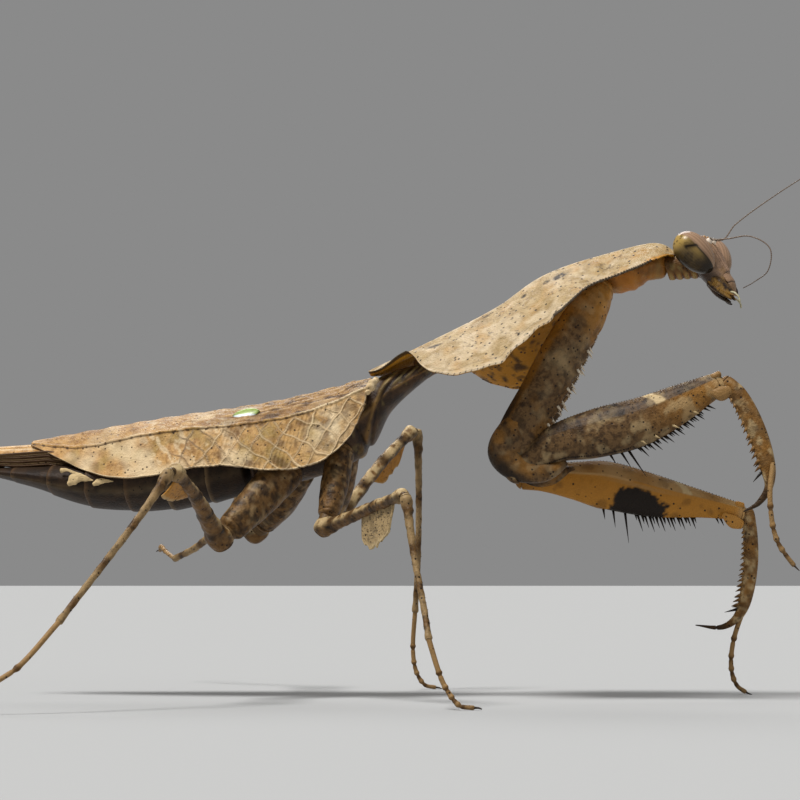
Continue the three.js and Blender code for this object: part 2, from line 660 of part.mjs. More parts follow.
// ---- Legs ------------------------------------------------------------------------------------
// A point on a segment's lower edge at t, and the way outwards there.
function lowerEdge({ path, half }, t, below) {
  const line = new THREE.CatmullRomCurve3(path.map(point), false, "centripetal");
  const depth = track(half.map((h, i) => [i / (path.length - 1), h]));
  const tangent = line.getTangent(t);
  const away = new THREE.Vector3(tangent.z, 0, -tangent.x).normalize().multiplyScalar(below);
  return { at: line.getPoint(t).addScaledVector(away, depth(t) * 0.85), away, tangent };
}

// A row of spines under a grasping segment: how many, from and to where, and how long at each.
function spineRow(shape, segment, below, count, from, to, length, offset) {
  let made = shape;
  for (let i = 0; i < count; i++) {
    const f = i / (count - 1);
    const { at, away, tangent } = lowerEdge(segment, from + (to - from) * f, below);
    at.y += offset;
    const reach = length(f);
    const tip = at.clone().addScaledVector(away, reach).addScaledVector(tangent, reach * 0.25);
    made = made.add(spine(at, tip, 0.24));
  }
  return made;
}

const NEIGHBOURS = {
  fore: ["pronotum_shield", "prothorax"],
  mid: ["mesothorax", "metathorax"],
  hind: ["mesothorax", "metathorax", "abdomen_segment_1", "abdomen_segment_2"],
};
for (const [leg, { coxa, femur, tibia, tarsus }] of Object.entries(LEGS)) {
  const [pair, side] = leg.split("_");
  const wing = pair === "fore" ? [] : [`forewing_${side}`];
  const name = (segment) => `${pair}_${segment}_${side}`;
  const grasping = pair === "fore";

  piece(name("coxa"), LEG, (grow) => {
    const shape = limb(coxa, grow, 8);
    if (!grasping || grow) return shape;
    return spineRow(shape, coxa, -1, 5, 0.28, 0.62, () => 0.8, 0);
  }, ...NEIGHBOURS[pair], ...wing, ...(side === "left" ? [`${pair}_coxa_right`] : []));

  piece(name("femur"), LEG, (grow) => {
    let shape = limb(femur, grow, 8);
    if (grow) return shape;
    if (grasping) {
      shape = spineRow(shape, femur, 1, 9, 0.42, 0.95, (f) => (f < 0.3 ? 1.5 : 0.9), -0.5);
      shape = spineRow(shape, femur, 1, 3, 0.45, 0.62, () => 2.2, 0.4);
      return shape;
    }
    const { from, to, hang } = LOBES[leg];
    const line = new THREE.CatmullRomCurve3(femur.path.map(point), false, "centripetal");
    const lobe = (u, v) => {
      const at = line.getPoint(from + (to - from) * u);
      const fall = hang * v * Math.sqrt(Math.max(0.02, Math.sin(Math.PI * (0.08 + 0.84 * u))));
      return at.add(new THREE.Vector3(SHEET / 2, 0, -fall));
    };
    return shape.add(sheet(lobe, 5, 2, SHEET));
  }, name("coxa"), ...wing);

  piece(name("tibia"), LEG, (grow) => {
    const shape = limb(tibia, grow, 6);
    if (!grasping || grow) return shape;
    return spineRow(shape, tibia, 1, 8, 0.12, 0.5, (f) => 0.5 + 0.7 * f, 0);
  }, name("femur"));

  const stands = tarsus.path.at(-1)[2] < 1;
  piece(name("tarsus"), LEG, (grow) => {
    const shape = limb(tarsus, grow, 5);
    return stands && !grow ? onFloor(shape) : shape;
  }, name("tibia"));
}

// The origin is the middle of the whole animal's bounds, on the floor.
const bounds = new THREE.Box3().setFromObject(mantis);
const middle = bounds.getCenter(new THREE.Vector3());
mantis.position.set(-middle.x, -middle.y, -bounds.min.z);

export default mantis;
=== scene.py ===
import bpy
import bmesh
import numpy as np
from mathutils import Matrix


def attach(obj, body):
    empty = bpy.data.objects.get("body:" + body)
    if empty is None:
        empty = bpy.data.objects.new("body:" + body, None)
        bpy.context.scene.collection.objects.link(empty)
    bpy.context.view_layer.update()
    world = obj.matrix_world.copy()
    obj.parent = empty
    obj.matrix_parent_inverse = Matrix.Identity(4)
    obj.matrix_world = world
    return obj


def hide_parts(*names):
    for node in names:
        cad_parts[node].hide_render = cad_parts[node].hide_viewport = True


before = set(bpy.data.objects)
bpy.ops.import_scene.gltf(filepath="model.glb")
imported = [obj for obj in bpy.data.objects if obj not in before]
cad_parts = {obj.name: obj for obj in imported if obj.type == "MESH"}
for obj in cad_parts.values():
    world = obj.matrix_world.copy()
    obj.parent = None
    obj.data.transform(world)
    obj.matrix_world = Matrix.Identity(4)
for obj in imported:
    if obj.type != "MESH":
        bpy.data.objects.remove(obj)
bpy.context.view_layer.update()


# ---- Floor, light and camera ----
# The animal stands on a wide pale floor, lit from above and behind its tail by a large soft sun, with a
# weaker one in front and one behind. The camera is low, and looks slightly up at its right side.
world = bpy.data.worlds.new("pale room")
world.use_nodes = True
background = world.node_tree.nodes["Background"]
background.inputs["Color"].default_value = (0.82, 0.82, 0.82, 1)
background.inputs["Strength"].default_value = 0.31
bpy.context.scene.world = world
bpy.context.scene.view_settings.view_transform = "Standard"

FLOOR_REACH = 40.0  # metres each way, far past what the camera sees
floor_mesh = bpy.data.meshes.new("floor")
CORNERS = ((-1, -1), (1, -1), (1, 1), (-1, 1))
floor_mesh.from_pydata([(FLOOR_REACH * x, FLOOR_REACH * y, 0) for x, y in CORNERS], [], [(0, 1, 2, 3)])
floor = bpy.data.objects.new("floor", floor_mesh)
bpy.context.scene.collection.objects.link(floor)
floor_paint = bpy.data.materials.new("floor paint")
floor_paint.use_nodes = True
for label, value in (("Base Color", (0.40, 0.40, 0.395, 1)), ("Roughness", 1.0), ("Specular IOR Level", 0.0)):
    floor_paint.node_tree.nodes["Principled BSDF"].inputs[label].default_value = value
floor.data.materials.append(floor_paint)

for name, turn, spread, power in [
    ("key lamp", (0.46, 0.0, -0.74), 0.30, 3.6),
    ("front lamp", (1.20, 0.0, 0.80), 0.60, 0.28),
    ("rim lamp", (-0.87, 0.0, 0.24), 0.50, 1.0),
]:
    lamp = bpy.data.lights.new(name, "SUN")
    lamp.angle = spread
    lamp.energy = power
    made = bpy.data.objects.new(name, lamp)
    made.rotation_euler = turn
    bpy.context.scene.collection.objects.link(made)

camera = bpy.data.objects.new("camera", bpy.data.cameras.new("camera"))
camera.data.lens = 123.75
camera.data.sensor_width = 36
camera.data.clip_start = 0.01
camera.location = (0.03686, -0.27012, 0.0112)
camera.rotation_euler = np.radians((93.85, 0, 8))
bpy.context.scene.collection.objects.link(camera)
bpy.context.scene.camera = camera


# ---- Pronotum shield ----
# The leaf-like plate over the long front of the body: thin horny chitin, cream-tan and dotted above,
# orange below, painted brighter there as light glowing through the thin sheet, with a keel down its
# middle and fine dark teeth along its front edges.
SHIFT = np.array((-1.4085, 2.1990, 0.0))  # from the drawing's own zero to the middle of the animal's bounds
SHEET, SHEET_RIM = 0.5, 0.10  # how thick the shield is at its ridge and at its edge
TILTED = np.array(((0.80, 0.36, 0.48), (-0.60, 0.48, 0.64), (0.0, -0.80, 0.60)))  # a plain turn in space
RIDGE = np.array([
    (27.5, 44.1), (26.3, 44.8), (24.9, 44.9), (21.4, 44.1), (16.8, 42.8), (13.8, 41.5),
    (9.7, 38.7), (2.0, 34.9), (-3.4, 32.4)])


def ease(a, b, x):
    """0 before a and 1 after b, along the curve 3t^2 - 2t^3 between them."""
    t = np.clip((x - a) / (b - a), 0, 1)
    return t * t * (3 - 2 * t)


def crease(x, centre, width):
    """1 on a line and 0 away from it, as a bell curve."""
    return np.exp(-(((x - centre) / width) ** 2))


def bell(x, y, centre, size):
    """1 at a centre and 0 away from it, as a bell curve of that size over x and over y."""
    return np.exp(-(((x - centre[0]) / size[0]) ** 2 + ((y - centre[1]) / size[1]) ** 2))


def grid(a, b):
    """Each a with each b: two arrays, (len(a), len(b))."""
    return np.meshgrid(a, b, indexing="ij")


def full_turn(n):
    """n angles evenly round a ring."""
    return np.linspace(0, 2 * np.pi, n, endpoint=False)


def unit(v):
    """v as long as 1, along its last axis."""
    return v / np.linalg.norm(v, axis=-1, keepdims=True)


def triple(a, b, c):
    """Three values at each place: the x, y and z of points, or the dark, ochre and pale of a pigment."""
    return np.stack(np.broadcast_arrays(a, b, c), -1)


def track(pairs, x):
    """The smooth curve through (x, value) pairs: cubics, sloped at each pair as the chord past it."""
    p = np.array(pairs, float)
    p = p[np.argsort(p[:, 0])]
    chord = np.diff(p, axis=0)
    wider = p[2:] - p[:-2]
    slope = np.concatenate([chord[:1, 1] / chord[:1, 0], wider[:, 1] / wider[:, 0],
                            chord[-1:, 1] / chord[-1:, 0]])
    i = np.clip(np.searchsorted(p[:, 0], x) - 1, 0, len(p) - 2)
    w = p[i + 1, 0] - p[i, 0]
    t = np.clip((x - p[i, 0]) / w, 0, 1)
    return (p[i, 1] * (2 * t**3 - 3 * t**2 + 1) + slope[i] * w * (t**3 - 2 * t**2 + t)
            + p[i + 1, 1] * (3 * t**2 - 2 * t**3) + slope[i + 1] * w * (t**3 - t**2))


def route(points, n):
    """n points evenly along the smooth curve through points: each coordinate is tracked over the distance
    walked. Returned with the unit way along at each point and the distance from the start."""
    p = np.array(points, float)
    far = np.concatenate([[0], np.cumsum(np.linalg.norm(np.diff(p, axis=0), axis=1))])
    fine = np.stack([track(np.column_stack([far, v]), np.linspace(0, far[-1], 900)) for v in p.T], -1)
    far = np.concatenate([[0], np.cumsum(np.linalg.norm(np.diff(fine, axis=0), axis=1))])
    s = np.linspace(0, far[-1], n)
    q = np.stack([np.interp(s, far, v) for v in fine.T], -1)
    way = np.gradient(q, axis=0)
    return q, unit(way), s


def lumps(points, size, seed):
    """Smooth noise from -1 to 1: random values at the corners of tilted cubes of that size, blended between,
    and again at 0.45 of the size and 0.4 of the strength."""
    total = np.zeros(len(points))
    for share, small in ((0.85, 1.0), (0.35, 0.45)):
        q = points @ TILTED / (size * small) + np.array((13.7, 5.1, 9.3)) * (seed + 1)
        base = np.floor(q).astype(np.int64)
        f = q - base
        f = f * f * (3 - 2 * f)
        for d in np.ndindex(2, 2, 2):
            c = base + d
            h = (c[:, 0] * 73856093) ^ (c[:, 1] * 19349663) ^ (c[:, 2] * 83492791)
            h = ((h ^ (h >> 13)) * 1274126177) & 0xFFFFFF
            total += share * (h / 0x7FFFFF - 1) * np.prod(np.where(d, f, 1 - f), axis=1)
    return total


def patches(low, high, points, size, seed):
    """Patches of smooth noise: 0 where it is under low, 1 where it is over high."""
    return ease(low, high, lumps(points, size, seed))


def lattice(rows, columns, wrap=False):
    """The corners of each cell of a grid of points, row by row; wrap joins its last column to its first."""
    i, j = grid(np.arange(rows - 1), np.arange(columns - (not wrap)))
    k = (j + 1) % columns
    here, below = i * columns, (i + 1) * columns
    return np.stack([here + j, here + k, below + k, below + j], -1).reshape(-1, 4)


def slab(top, low):
    """A closed sheet: a grid of points, (rows, columns, 3), over another one, joined at the rim."""
    rows, columns = top.shape[:2]
    n = rows * columns
    cells = lattice(rows, columns)
    rim = np.concatenate([np.arange(columns - 1), np.arange(columns - 1, n - 1, columns),
                          np.arange(n - 1, n - columns, -1), np.arange(n - columns, 0, -columns)])
    after = np.roll(rim, -1)
    faces = [cells, cells[:, ::-1] + n, np.stack([rim, rim + n, after + n, after], -1)]
    return np.concatenate([top.reshape(-1, 3), low.reshape(-1, 3)]), faces


def pipe(rings):
    """A closed skin through rings of points, (rings, sides, 3), with a fan of faces over each end."""
    rows, sides = rings.shape[:2]
    n = rows * sides
    k = np.arange(sides)
    after = (k + 1) % sides
    points = np.concatenate([rings.reshape(-1, 3), rings[:1].mean(1), rings[-1:].mean(1)])
    ends = [triple(np.full(sides, n), after, k),
            triple(np.full(sides, n + 1), n - sides + k, n - sides + after)]
    return points, [lattice(rows, sides, True)] + ends


def build(name, shells, slot, *nodes, paint, pigment=None):
    """A painted piece from closed shells of (points in mm, faces). Its pigment holds 0 to 1 amounts of dark,
    ochre and pale at each point, worked out by the function given from the points and the shell's number."""
    mesh = bpy.data.meshes.new(name)
    start, corners, totals, places, tints = 0, [], [], [], []
    for number, (points, faces) in enumerate(shells):
        for f in faces:
            corners.append((f + start).ravel())
            totals.append(np.full(len(f), f.shape[1]))
        places.append(points)
        tints.append(np.broadcast_to(pigment(points, number) if pigment else (0, 0, 0), (len(points), 3)))
        start += len(points)
    places, corners, totals = np.concatenate(places), np.concatenate(corners), np.concatenate(totals)
    mesh.vertices.add(len(places))
    mesh.vertices.foreach_set("co", ((places + SHIFT) / 1000).ravel())
    mesh.loops.add(len(corners))
    mesh.loops.foreach_set("vertex_index", corners.astype(np.int32))
    mesh.polygons.add(len(totals))
    mesh.polygons.foreach_set("loop_start", (np.cumsum(totals) - totals).astype(np.int32))
    mesh.polygons.foreach_set("use_smooth", np.ones(len(totals), bool))
    layer = mesh.attributes.new("pigment", "FLOAT_COLOR", "POINT")
    tints = np.clip(np.concatenate(tints), 0, 1)
    layer.data.foreach_set("color", np.column_stack([tints, np.ones(len(tints))]).astype(np.float32).ravel())
    mesh.update(calc_edges=True)
    mesh.validate()
    work = bmesh.new()
    work.from_mesh(mesh)
    bmesh.ops.recalc_face_normals(work, faces=work.faces)
    work.to_mesh(mesh)
    work.free()
    mesh.materials.append(paint)
    piece = bpy.data.objects.new(name, mesh)
    bpy.context.scene.collection.objects.link(piece)
    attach(piece, "root")
    if nodes:
        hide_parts(*nodes)


def node(tree, kind, inputs=None, **settings):
    """A shader node with its settings, and its inputs each held at a value or fed by another's output."""
    made = tree.nodes.new("ShaderNode" + kind)
    for name, value in settings.items():
        setattr(made, name, value)
    for name, value in (inputs or {}).items():
        if isinstance(value, bpy.types.NodeSocket):
            tree.links.new(value, made.inputs[name])
        else:
            made.inputs[name].default_value = (*value, 1) if isinstance(value, tuple) else value
    return made


def chitin_grain():
    """Node group: blotches at a scale, small round dots, and a fine grain, all from a point in space."""
    group = bpy.data.node_groups.new("chitin grain", "ShaderNodeTree")
    group.interface.new_socket("Vector", in_out="INPUT", socket_type="NodeSocketVector")
    for label in ("Blotch Scale", "Dot Scale", "Dot Size"):
        group.interface.new_socket(label, in_out="INPUT", socket_type="NodeSocketFloat")
    for label in ("Blotch", "Dots", "Grain"):
        group.interface.new_socket(label, in_out="OUTPUT", socket_type="NodeSocketFloat")
    into, out = group.nodes.new("NodeGroupInput"), group.nodes.new("NodeGroupOutput")
    place, blotch_scale, dot_scale, dot_size = into.outputs[:4]
    noise = node(group, "TexNoise", {"Vector": place, "Scale": blotch_scale, "Detail": 5, "Roughness": 0.62})
    blotch = node(group, "MapRange", {"Value": noise.outputs["Fac"], "From Min": 0.42, "From Max": 0.62},
                  interpolation_type="SMOOTHSTEP")
    cells = node(group, "TexVoronoi", {"Vector": place, "Scale": dot_scale})
    inside = node(group, "Math", {0: dot_size, 1: cells.outputs["Distance"]}, operation="SUBTRACT")
    dots = node(group, "Math", {0: inside.outputs[0], 1: 12}, operation="MULTIPLY", use_clamp=True)
    grain = node(group, "TexNoise", {"Vector": place, "Scale": 5200, "Detail": 3})
    for label, value in (("Blotch", blotch.outputs["Result"]), ("Dots", dots.outputs[0]),
                         ("Grain", grain.outputs["Fac"])):
        group.links.new(value, out.inputs[label])
    return group


GRAIN = chitin_grain()


def mixed(tree, below, above, amount):
    """A colour: below, covered by above where amount is 1."""
    return node(tree, "Mix", {0: amount, 6: below, 7: above}, data_type="RGBA").outputs[2]


def worked(tree, a, operation, b):
    """A number from two others, held between 0 and 1."""
    return node(tree, "Math", {0: a, 1: b}, operation=operation, use_clamp=True).outputs[0]


def chitin(name, light, shade, dot, dark, ochre, pale, rough=0.5, blotch=400, dots=700, dot_size=0.2,
           bump=0.15, coat=0.0):
    """Horny skin: light and shade in blotches, dots over them, then the piece's own pigment in dark, ochre
    and pale, each broken up by the grain. The grain and the dots also roughen it."""
    paint = bpy.data.materials.new(name)
    paint.use_nodes = True
    tree = paint.node_tree
    bsdf = tree.nodes["Principled BSDF"]
    place = node(tree, "TexCoord").outputs["Object"]
    grain = node(tree, "Group",
                 {"Vector": place, "Blotch Scale": blotch, "Dot Scale": dots, "Dot Size": dot_size},
                 node_tree=GRAIN)
    own = node(tree, "Attribute", attribute_name="pigment").outputs["Color"]
    amounts = node(tree, "SeparateColor", {"Color": own})
    colour = light
    for above, amount in ((shade, grain.outputs["Blotch"]), (ochre, amounts.outputs["Green"]),
                          (pale, amounts.outputs["Blue"]), (dot, grain.outputs["Dots"]),
                          (dark, amounts.outputs["Red"])):
        colour = mixed(tree, colour, above, amount)
    pit = worked(tree, grain.outputs["Dots"], "MULTIPLY", 0.5)
    height = worked(tree, grain.outputs["Grain"], "SUBTRACT", pit)
    relief = node(tree, "Bump", {"Height": height, "Strength": bump, "Distance": 0.0002})
    tree.links.new(colour, bsdf.inputs["Base Color"])
    tree.links.new(relief.outputs["Normal"], bsdf.inputs["Normal"])
    for label, value in (("Roughness", rough), ("Specular IOR Level", 0.17), ("Coat Weight", coat),
                         ("Coat Roughness", 0.35)):
        bsdf.inputs[label].default_value = value
    return paint


def shield_half(s):
    """Half-width of the shield at s along its ridge: narrow, then two swellings, a rounded rear edge, and
    behind that a small tongue."""
    front = 0.9 + 3.2 * ease(-0.6, 3.0, s)
    full = front + 5.8 * (0.67 * ease(8, 12.2, s) + 0.33 * ease(15.5, 21.5, s))
    rounding = np.maximum(0, 1 - (np.maximum(0, s - 21.8) / 7.0) ** 2) ** 0.45
    tongue = 2.5 * np.sqrt(np.clip(1 - (np.maximum(0, s - 30) / 3.75) ** 2, 0.02, 1)) * (s > 20)
    return np.maximum(full * rounding, tongue)


# How steeply the shield falls outwards, in mm for each mm, at each place along its ridge.
STEEP = [(0, 0.68), (1.4, 0.72), (2.2, 0.68), (4, 0.72), (6, 0.8), (8, 0.97), (9.2, 0.92), (11, 0.73),
         (13, 0.74), (16, 0.8), (18, 0.77), (20, 0.7), (22, 0.65), (26, 0.61), (40, 0.61)]
# How much less steep the right half is, and the share by which the left half is.
RIGHT_LIFT = [(5, 0), (6.5, 0.06), (8, 0.15), (9.2, 0.19), (10, 0.175), (11, 0.125), (13, 0.10), (15, 0.08),
              (16.5, 0.11), (18, 0.125), (19, 0.105), (20, 0.05), (21, 0), (40, 0)]
LEFT_SHARE = [(0, 0), (17, 0), (19, -0.18), (20, -0.19), (21, -0.15), (22.5, -0.10), (24, 0.10), (25.2, 0.38),
              (26, 0.42), (40, 0.42)]
ridge, ridge_way, ridge_far = route(RIDGE, 600)
RIDGE_LENGTH = ridge_far[-1]


def on_ridge(s):
    """The ridge's (x, z) at s along it, and the unit way down from it, held nearly upright at the neck."""
    at = np.stack([np.interp(s, ridge_far, ridge[:, k]) for k in (0, 1)], -1)
    along = np.stack([np.interp(s, ridge_far, ridge_way[:, k]) for k in (0, 1)], -1)
    share = ease(1, 6, s)[..., None]
    down = np.stack([-along[..., 1], along[..., 0]], -1) * share + np.array((-0.12, -1.0)) * (1 - share)
    return at, unit(down)


def shield_sheet(s, f, depth):
    """A point of the shield: out to f times the half-width, falling steeply as it goes out, dished and
    waved like a dry leaf, with a low keel and a groove over the leg roots; depth of its thickness down."""
    half = shield_half(s)
    edge = np.abs(f)
    out = f * half * (1 + 0.012 * np.sin(s * 2.6 + 2 * f) * edge)
    at, down = on_ridge(s)
    flat = 1 - ease(28.4, 29.2, s)
    curl = np.where(f < 0, 0.04 + 0.34 * ease(29.5, 33, s), 0.75 - 0.2 * ease(31, 33.5, s))
    steep = np.where(f > 0, track(STEEP, s) * (1 - track(LEFT_SHARE, s)),
                     track(STEEP, s) - track(RIGHT_LIFT, np.maximum(s, 5)))
    droop = (steep * flat + curl * (1 - flat)) * (np.hypot(out, 0.6) - 0.6)
    wide = ease(7, 14, s)
    wave = wide * flat * edge**2 * (0.07 * np.sin(0.9 * s + 3 * np.sign(f)) + 0.04 * np.sin(2.1 * s))
    dish = -0.35 * wide * flat * np.sin(np.pi * np.clip(edge, 0, 1)) ** 2
    keel = -0.16 * crease(out, 0, 0.32)
    over_roots = ease(0.05, 0.4, edge), 1 - ease(0.6, 0.9, edge)
    groove = (0.22 * crease(s, 7.2, 0.5) - 0.20 * crease(s, 8.2, 0.6)) * over_roots[0] * over_roots[1]
    lip = -0.12 * ease(0.9, 1.0, edge)
    thick = SHEET_RIM + (SHEET - SHEET_RIM) * (1 - ease(0.35, 0.95, edge))
    fall = droop + wave + dish + keel + groove + lip + depth * thick
    return triple(at[..., 0] + down[..., 0] * fall, out, at[..., 1] + down[..., 1] * fall)


s, f = grid(np.linspace(0, RIDGE_LENGTH - 0.3, 260), np.sin(np.linspace(-np.pi / 2, np.pi / 2, 121)))
shield_shells = [slab(shield_sheet(s, f, 0.0), shield_sheet(s, f, 1.0))]


THORN_RINGS = ((0, 1), (0.45, 0.62), (1, 0.1))  # how far from root to tip, and the share of the radius there


def thorns(roots, tips, radii, sides=5):
    """Curved-sided cones from roots to tips, each of three rings."""
    shells = []
    way = unit(tips - roots)
    side = unit(np.cross(way, np.where(np.abs(way[:, 2:]) < 0.9, (0.0, 0.0, 1.0), (1.0, 0.0, 0.0))))
    other = np.cross(way, side)
    turn = full_turn(sides)
    for k in range(len(roots)):
        circle = np.cos(turn)[:, None] * side[k] + np.sin(turn)[:, None] * other[k]
        shells.append(pipe(np.stack([roots[k] + (tips[k] - roots[k]) * share + circle * radii[k] * size
                                     for share, size in THORN_RINGS])))
    return shells


# Fine teeth on both edges, each a small dark thorn that leans back: coarse in front and fine behind.
COARSE_END = 14.6
for way in (-1.0, 1.0):
    at = np.concatenate([np.linspace(2.2, 14.5, 40), np.linspace(15.2, 27.0, 22), np.linspace(29, 33, 18)])
    size = np.where(at < COARSE_END, 0.24, 0.12) * (1 + 0.35 * np.sin(at * 7.3)) * ease(0.5, 3, at)
    root = shield_sheet(at, np.full_like(at, way * 0.975), 0.5)
    lean = triple(-0.3 * size, way * size * 0.9, -0.55 * size)
    tip = shield_sheet(at + 0.12, np.full_like(at, way), 0.5) + lean
    shield_shells += thorns(root, tip, np.where(at < COARSE_END, 0.15, 0.10), 8)


# The strongest dark marks: how far along the ridge and how far out, and their size each way.
STRONG_MARKS = [((12.1, 0.28), (0.9, 0.09)), ((13.6, 0.26), (0.5, 0.06)), ((16.4, 0.23), (0.35, 0.05)),
                ((20.5, 0.08), (0.7, 0.03)), ((26.4, 0.27), (0.9, 0.05))]


def shield_pigment(points, number):
    """Dark on the teeth and in smudges by the ridge; orange all over the underside, blotched with brown, and
    brightened there as painted glow of light through the thin shield; an ochre rim at the neck, and one fine
    dark line along the pale border."""
    if number:
        return 0.9, 0.0, 0.0
    under = np.arange(len(points)) >= len(points) // 2
    edge = np.abs(np.tile(f.ravel(), 2))
    along = np.tile(s.ravel(), 2)
    near_ridge = 1 - ease(0.25, 0.75, edge)
    smudge = patches(0.2, 0.6, points, 1.3, 1) * 0.20 * ease(5, 9, along) * (0.25 + 0.75 * near_ridge)
    for centre, size in STRONG_MARKS:
        mark = ease(0.25, 0.7, bell(along, edge, centre, size))
        smudge = np.maximum(smudge, 0.95 * mark * patches(-0.8, 0.0, points, 0.35, 10))
    specks = patches(0.40, 0.66, points, 0.33, 2) * (0.12 + 0.55 * patches(0.0, 0.6, points, 3.0, 3))
    behind = ease(28.5, 29, along)
    toothed = np.maximum(ease(2.0, 3, along) * (1 - ease(14, 16, along)), behind)
    rim = ease(0.95, 0.965, edge) * (0.20 + 0.70 * toothed)
    border = 0.38 * crease(edge - 0.86 - 0.02 * np.sin(along * 1.3), 0, 0.008) * ease(14, 16, along)
    spots = np.maximum(patches(0.25, 0.6, points, 1.1, 4) * 0.85, patches(0.3, 0.55, points, 0.5, 7) * 0.6)
    collar = ease(0.74, 0.88, edge) * (1 - ease(1.8, 4.0, along))
    spots = np.maximum(spots * (1 - 0.5 * behind), 0.85 * ease(0.70, 0.82, edge) * behind)
    patch = bell(along, edge, (8.2, 0.32), (0.5, 0.13))
    # The underside: its own orange, painted bright as the glow of light shining through the thin shield.
    ochre = np.where(under, 1.0,
                     np.maximum.reduce([0.22 * patches(0, 0.6, points, 1.2, 5), 0.85 * collar, 0.35 * patch]))
    dark = np.where(under, spots, np.maximum.reduce([smudge, specks, rim, border]))
    keel = crease(edge, 0, 0.035) * 0.5
    mottle = 0.5 * patches(0.0, 0.5, points, 1.4, 6) + 0.25 * patches(0.0, 0.4, points, 0.45, 12)
    pale = np.where(under, 0.0,
                    keel + mottle * (1 - 0.8 * collar) + 0.3 * ease(0.88, 0.92, edge) * ease(12, 16, along))
    return triple(dark, ochre, pale)


# Its ochre is brighter than the shield's own orange: on the underside it paints light glowing through the
# sheet.
SHIELD_LEAF = chitin(
    "shield leaf", light=(0.43, 0.305, 0.15), shade=(0.32, 0.215, 0.09), dot=(0.030, 0.018, 0.011),
    dark=(0.026, 0.016, 0.010), ochre=(0.54, 0.235, 0.018), pale=(0.60, 0.475, 0.315), rough=0.55, blotch=900,
    dots=1350, dot_size=0.21, bump=0.6)
build("pronotum_shield_leaf", shield_shells, "shield", "pronotum_shield", paint=SHIELD_LEAF,
      pigment=shield_pigment)


# ---- Wings ----
# The forewings are leathery covers folded roof-like over the abdomen, bent down at the main vein and drawn
# like a dead leaf: raised pale veins in a net near the root, smooth at the tip. The hindwings lie under them.
WING_ROOT, WING_TIP = -2.9, -37.7
WING_TOP = [(-3.3, 31.9), (-13.2, 29.7), (-24.5, 28.1), (-37.9, 25.9)]
VEIN_OUT = [(-2.9, 3.3), (-11.6, 4.5), (-23.9, 4.5), (-32.5, 2.6), (-37.7, 0.9)]
VEIN_UP = [(-2.9, 30.8), (-6.9, 29), (-12.6, 27.5), (-23.9, 26.4), (-32.5, 25.1), (-37.7, 25.7)]
EDGE_OUT = [(-2.8, 4), (-6.5, 6), (-11.3, 6.5), (-23.7, 6.3), (-30.1, 5), (-37.7, 1.2)]
EDGE_UP = [(-2.8, 29.6), (-4.4, 25.8), (-7.3, 23.2), (-12.3, 22.5), (-17.4, 23), (-26.9, 21.8), (-31.2, 22.7),
           (-37.7, 25.5)]
ROOF = 0.30  # the share of the wing's columns that lie on its roof, from the inner edge to the main vein
SIDES = (("right", -1), ("left", 1))


def veins(along, down, wide=2.45, tall=2.9, line=0.055):
    """1 on two families of curved lines that cross in diamonds, wide by tall, and 0 inside the diamonds. Both
    ways are first bent by slow waves, and each stretch of line fades in and out on its own."""
    a = along + 0.24 * np.sin(1.25 * down + 0.55 * along) + 0.10 * np.sin(2.9 * along + 1.7 * down)
    b = down + 0.26 * np.sin(0.95 * along + 2.0) + 0.08 * np.sin(3.1 * down - 2.3 * along)
    net = np.zeros_like(a)
    for sign in (1, -1):
        turns = a / wide + sign * b / tall
        count = np.round(turns)
        cross = np.floor(a / wide - sign * b / tall)
        fade = 0.78 + 0.22 * np.sin(count * 12.9 + cross * 7.3 * sign)
        net = np.maximum(net, fade * crease(turns, count, line))
    return net


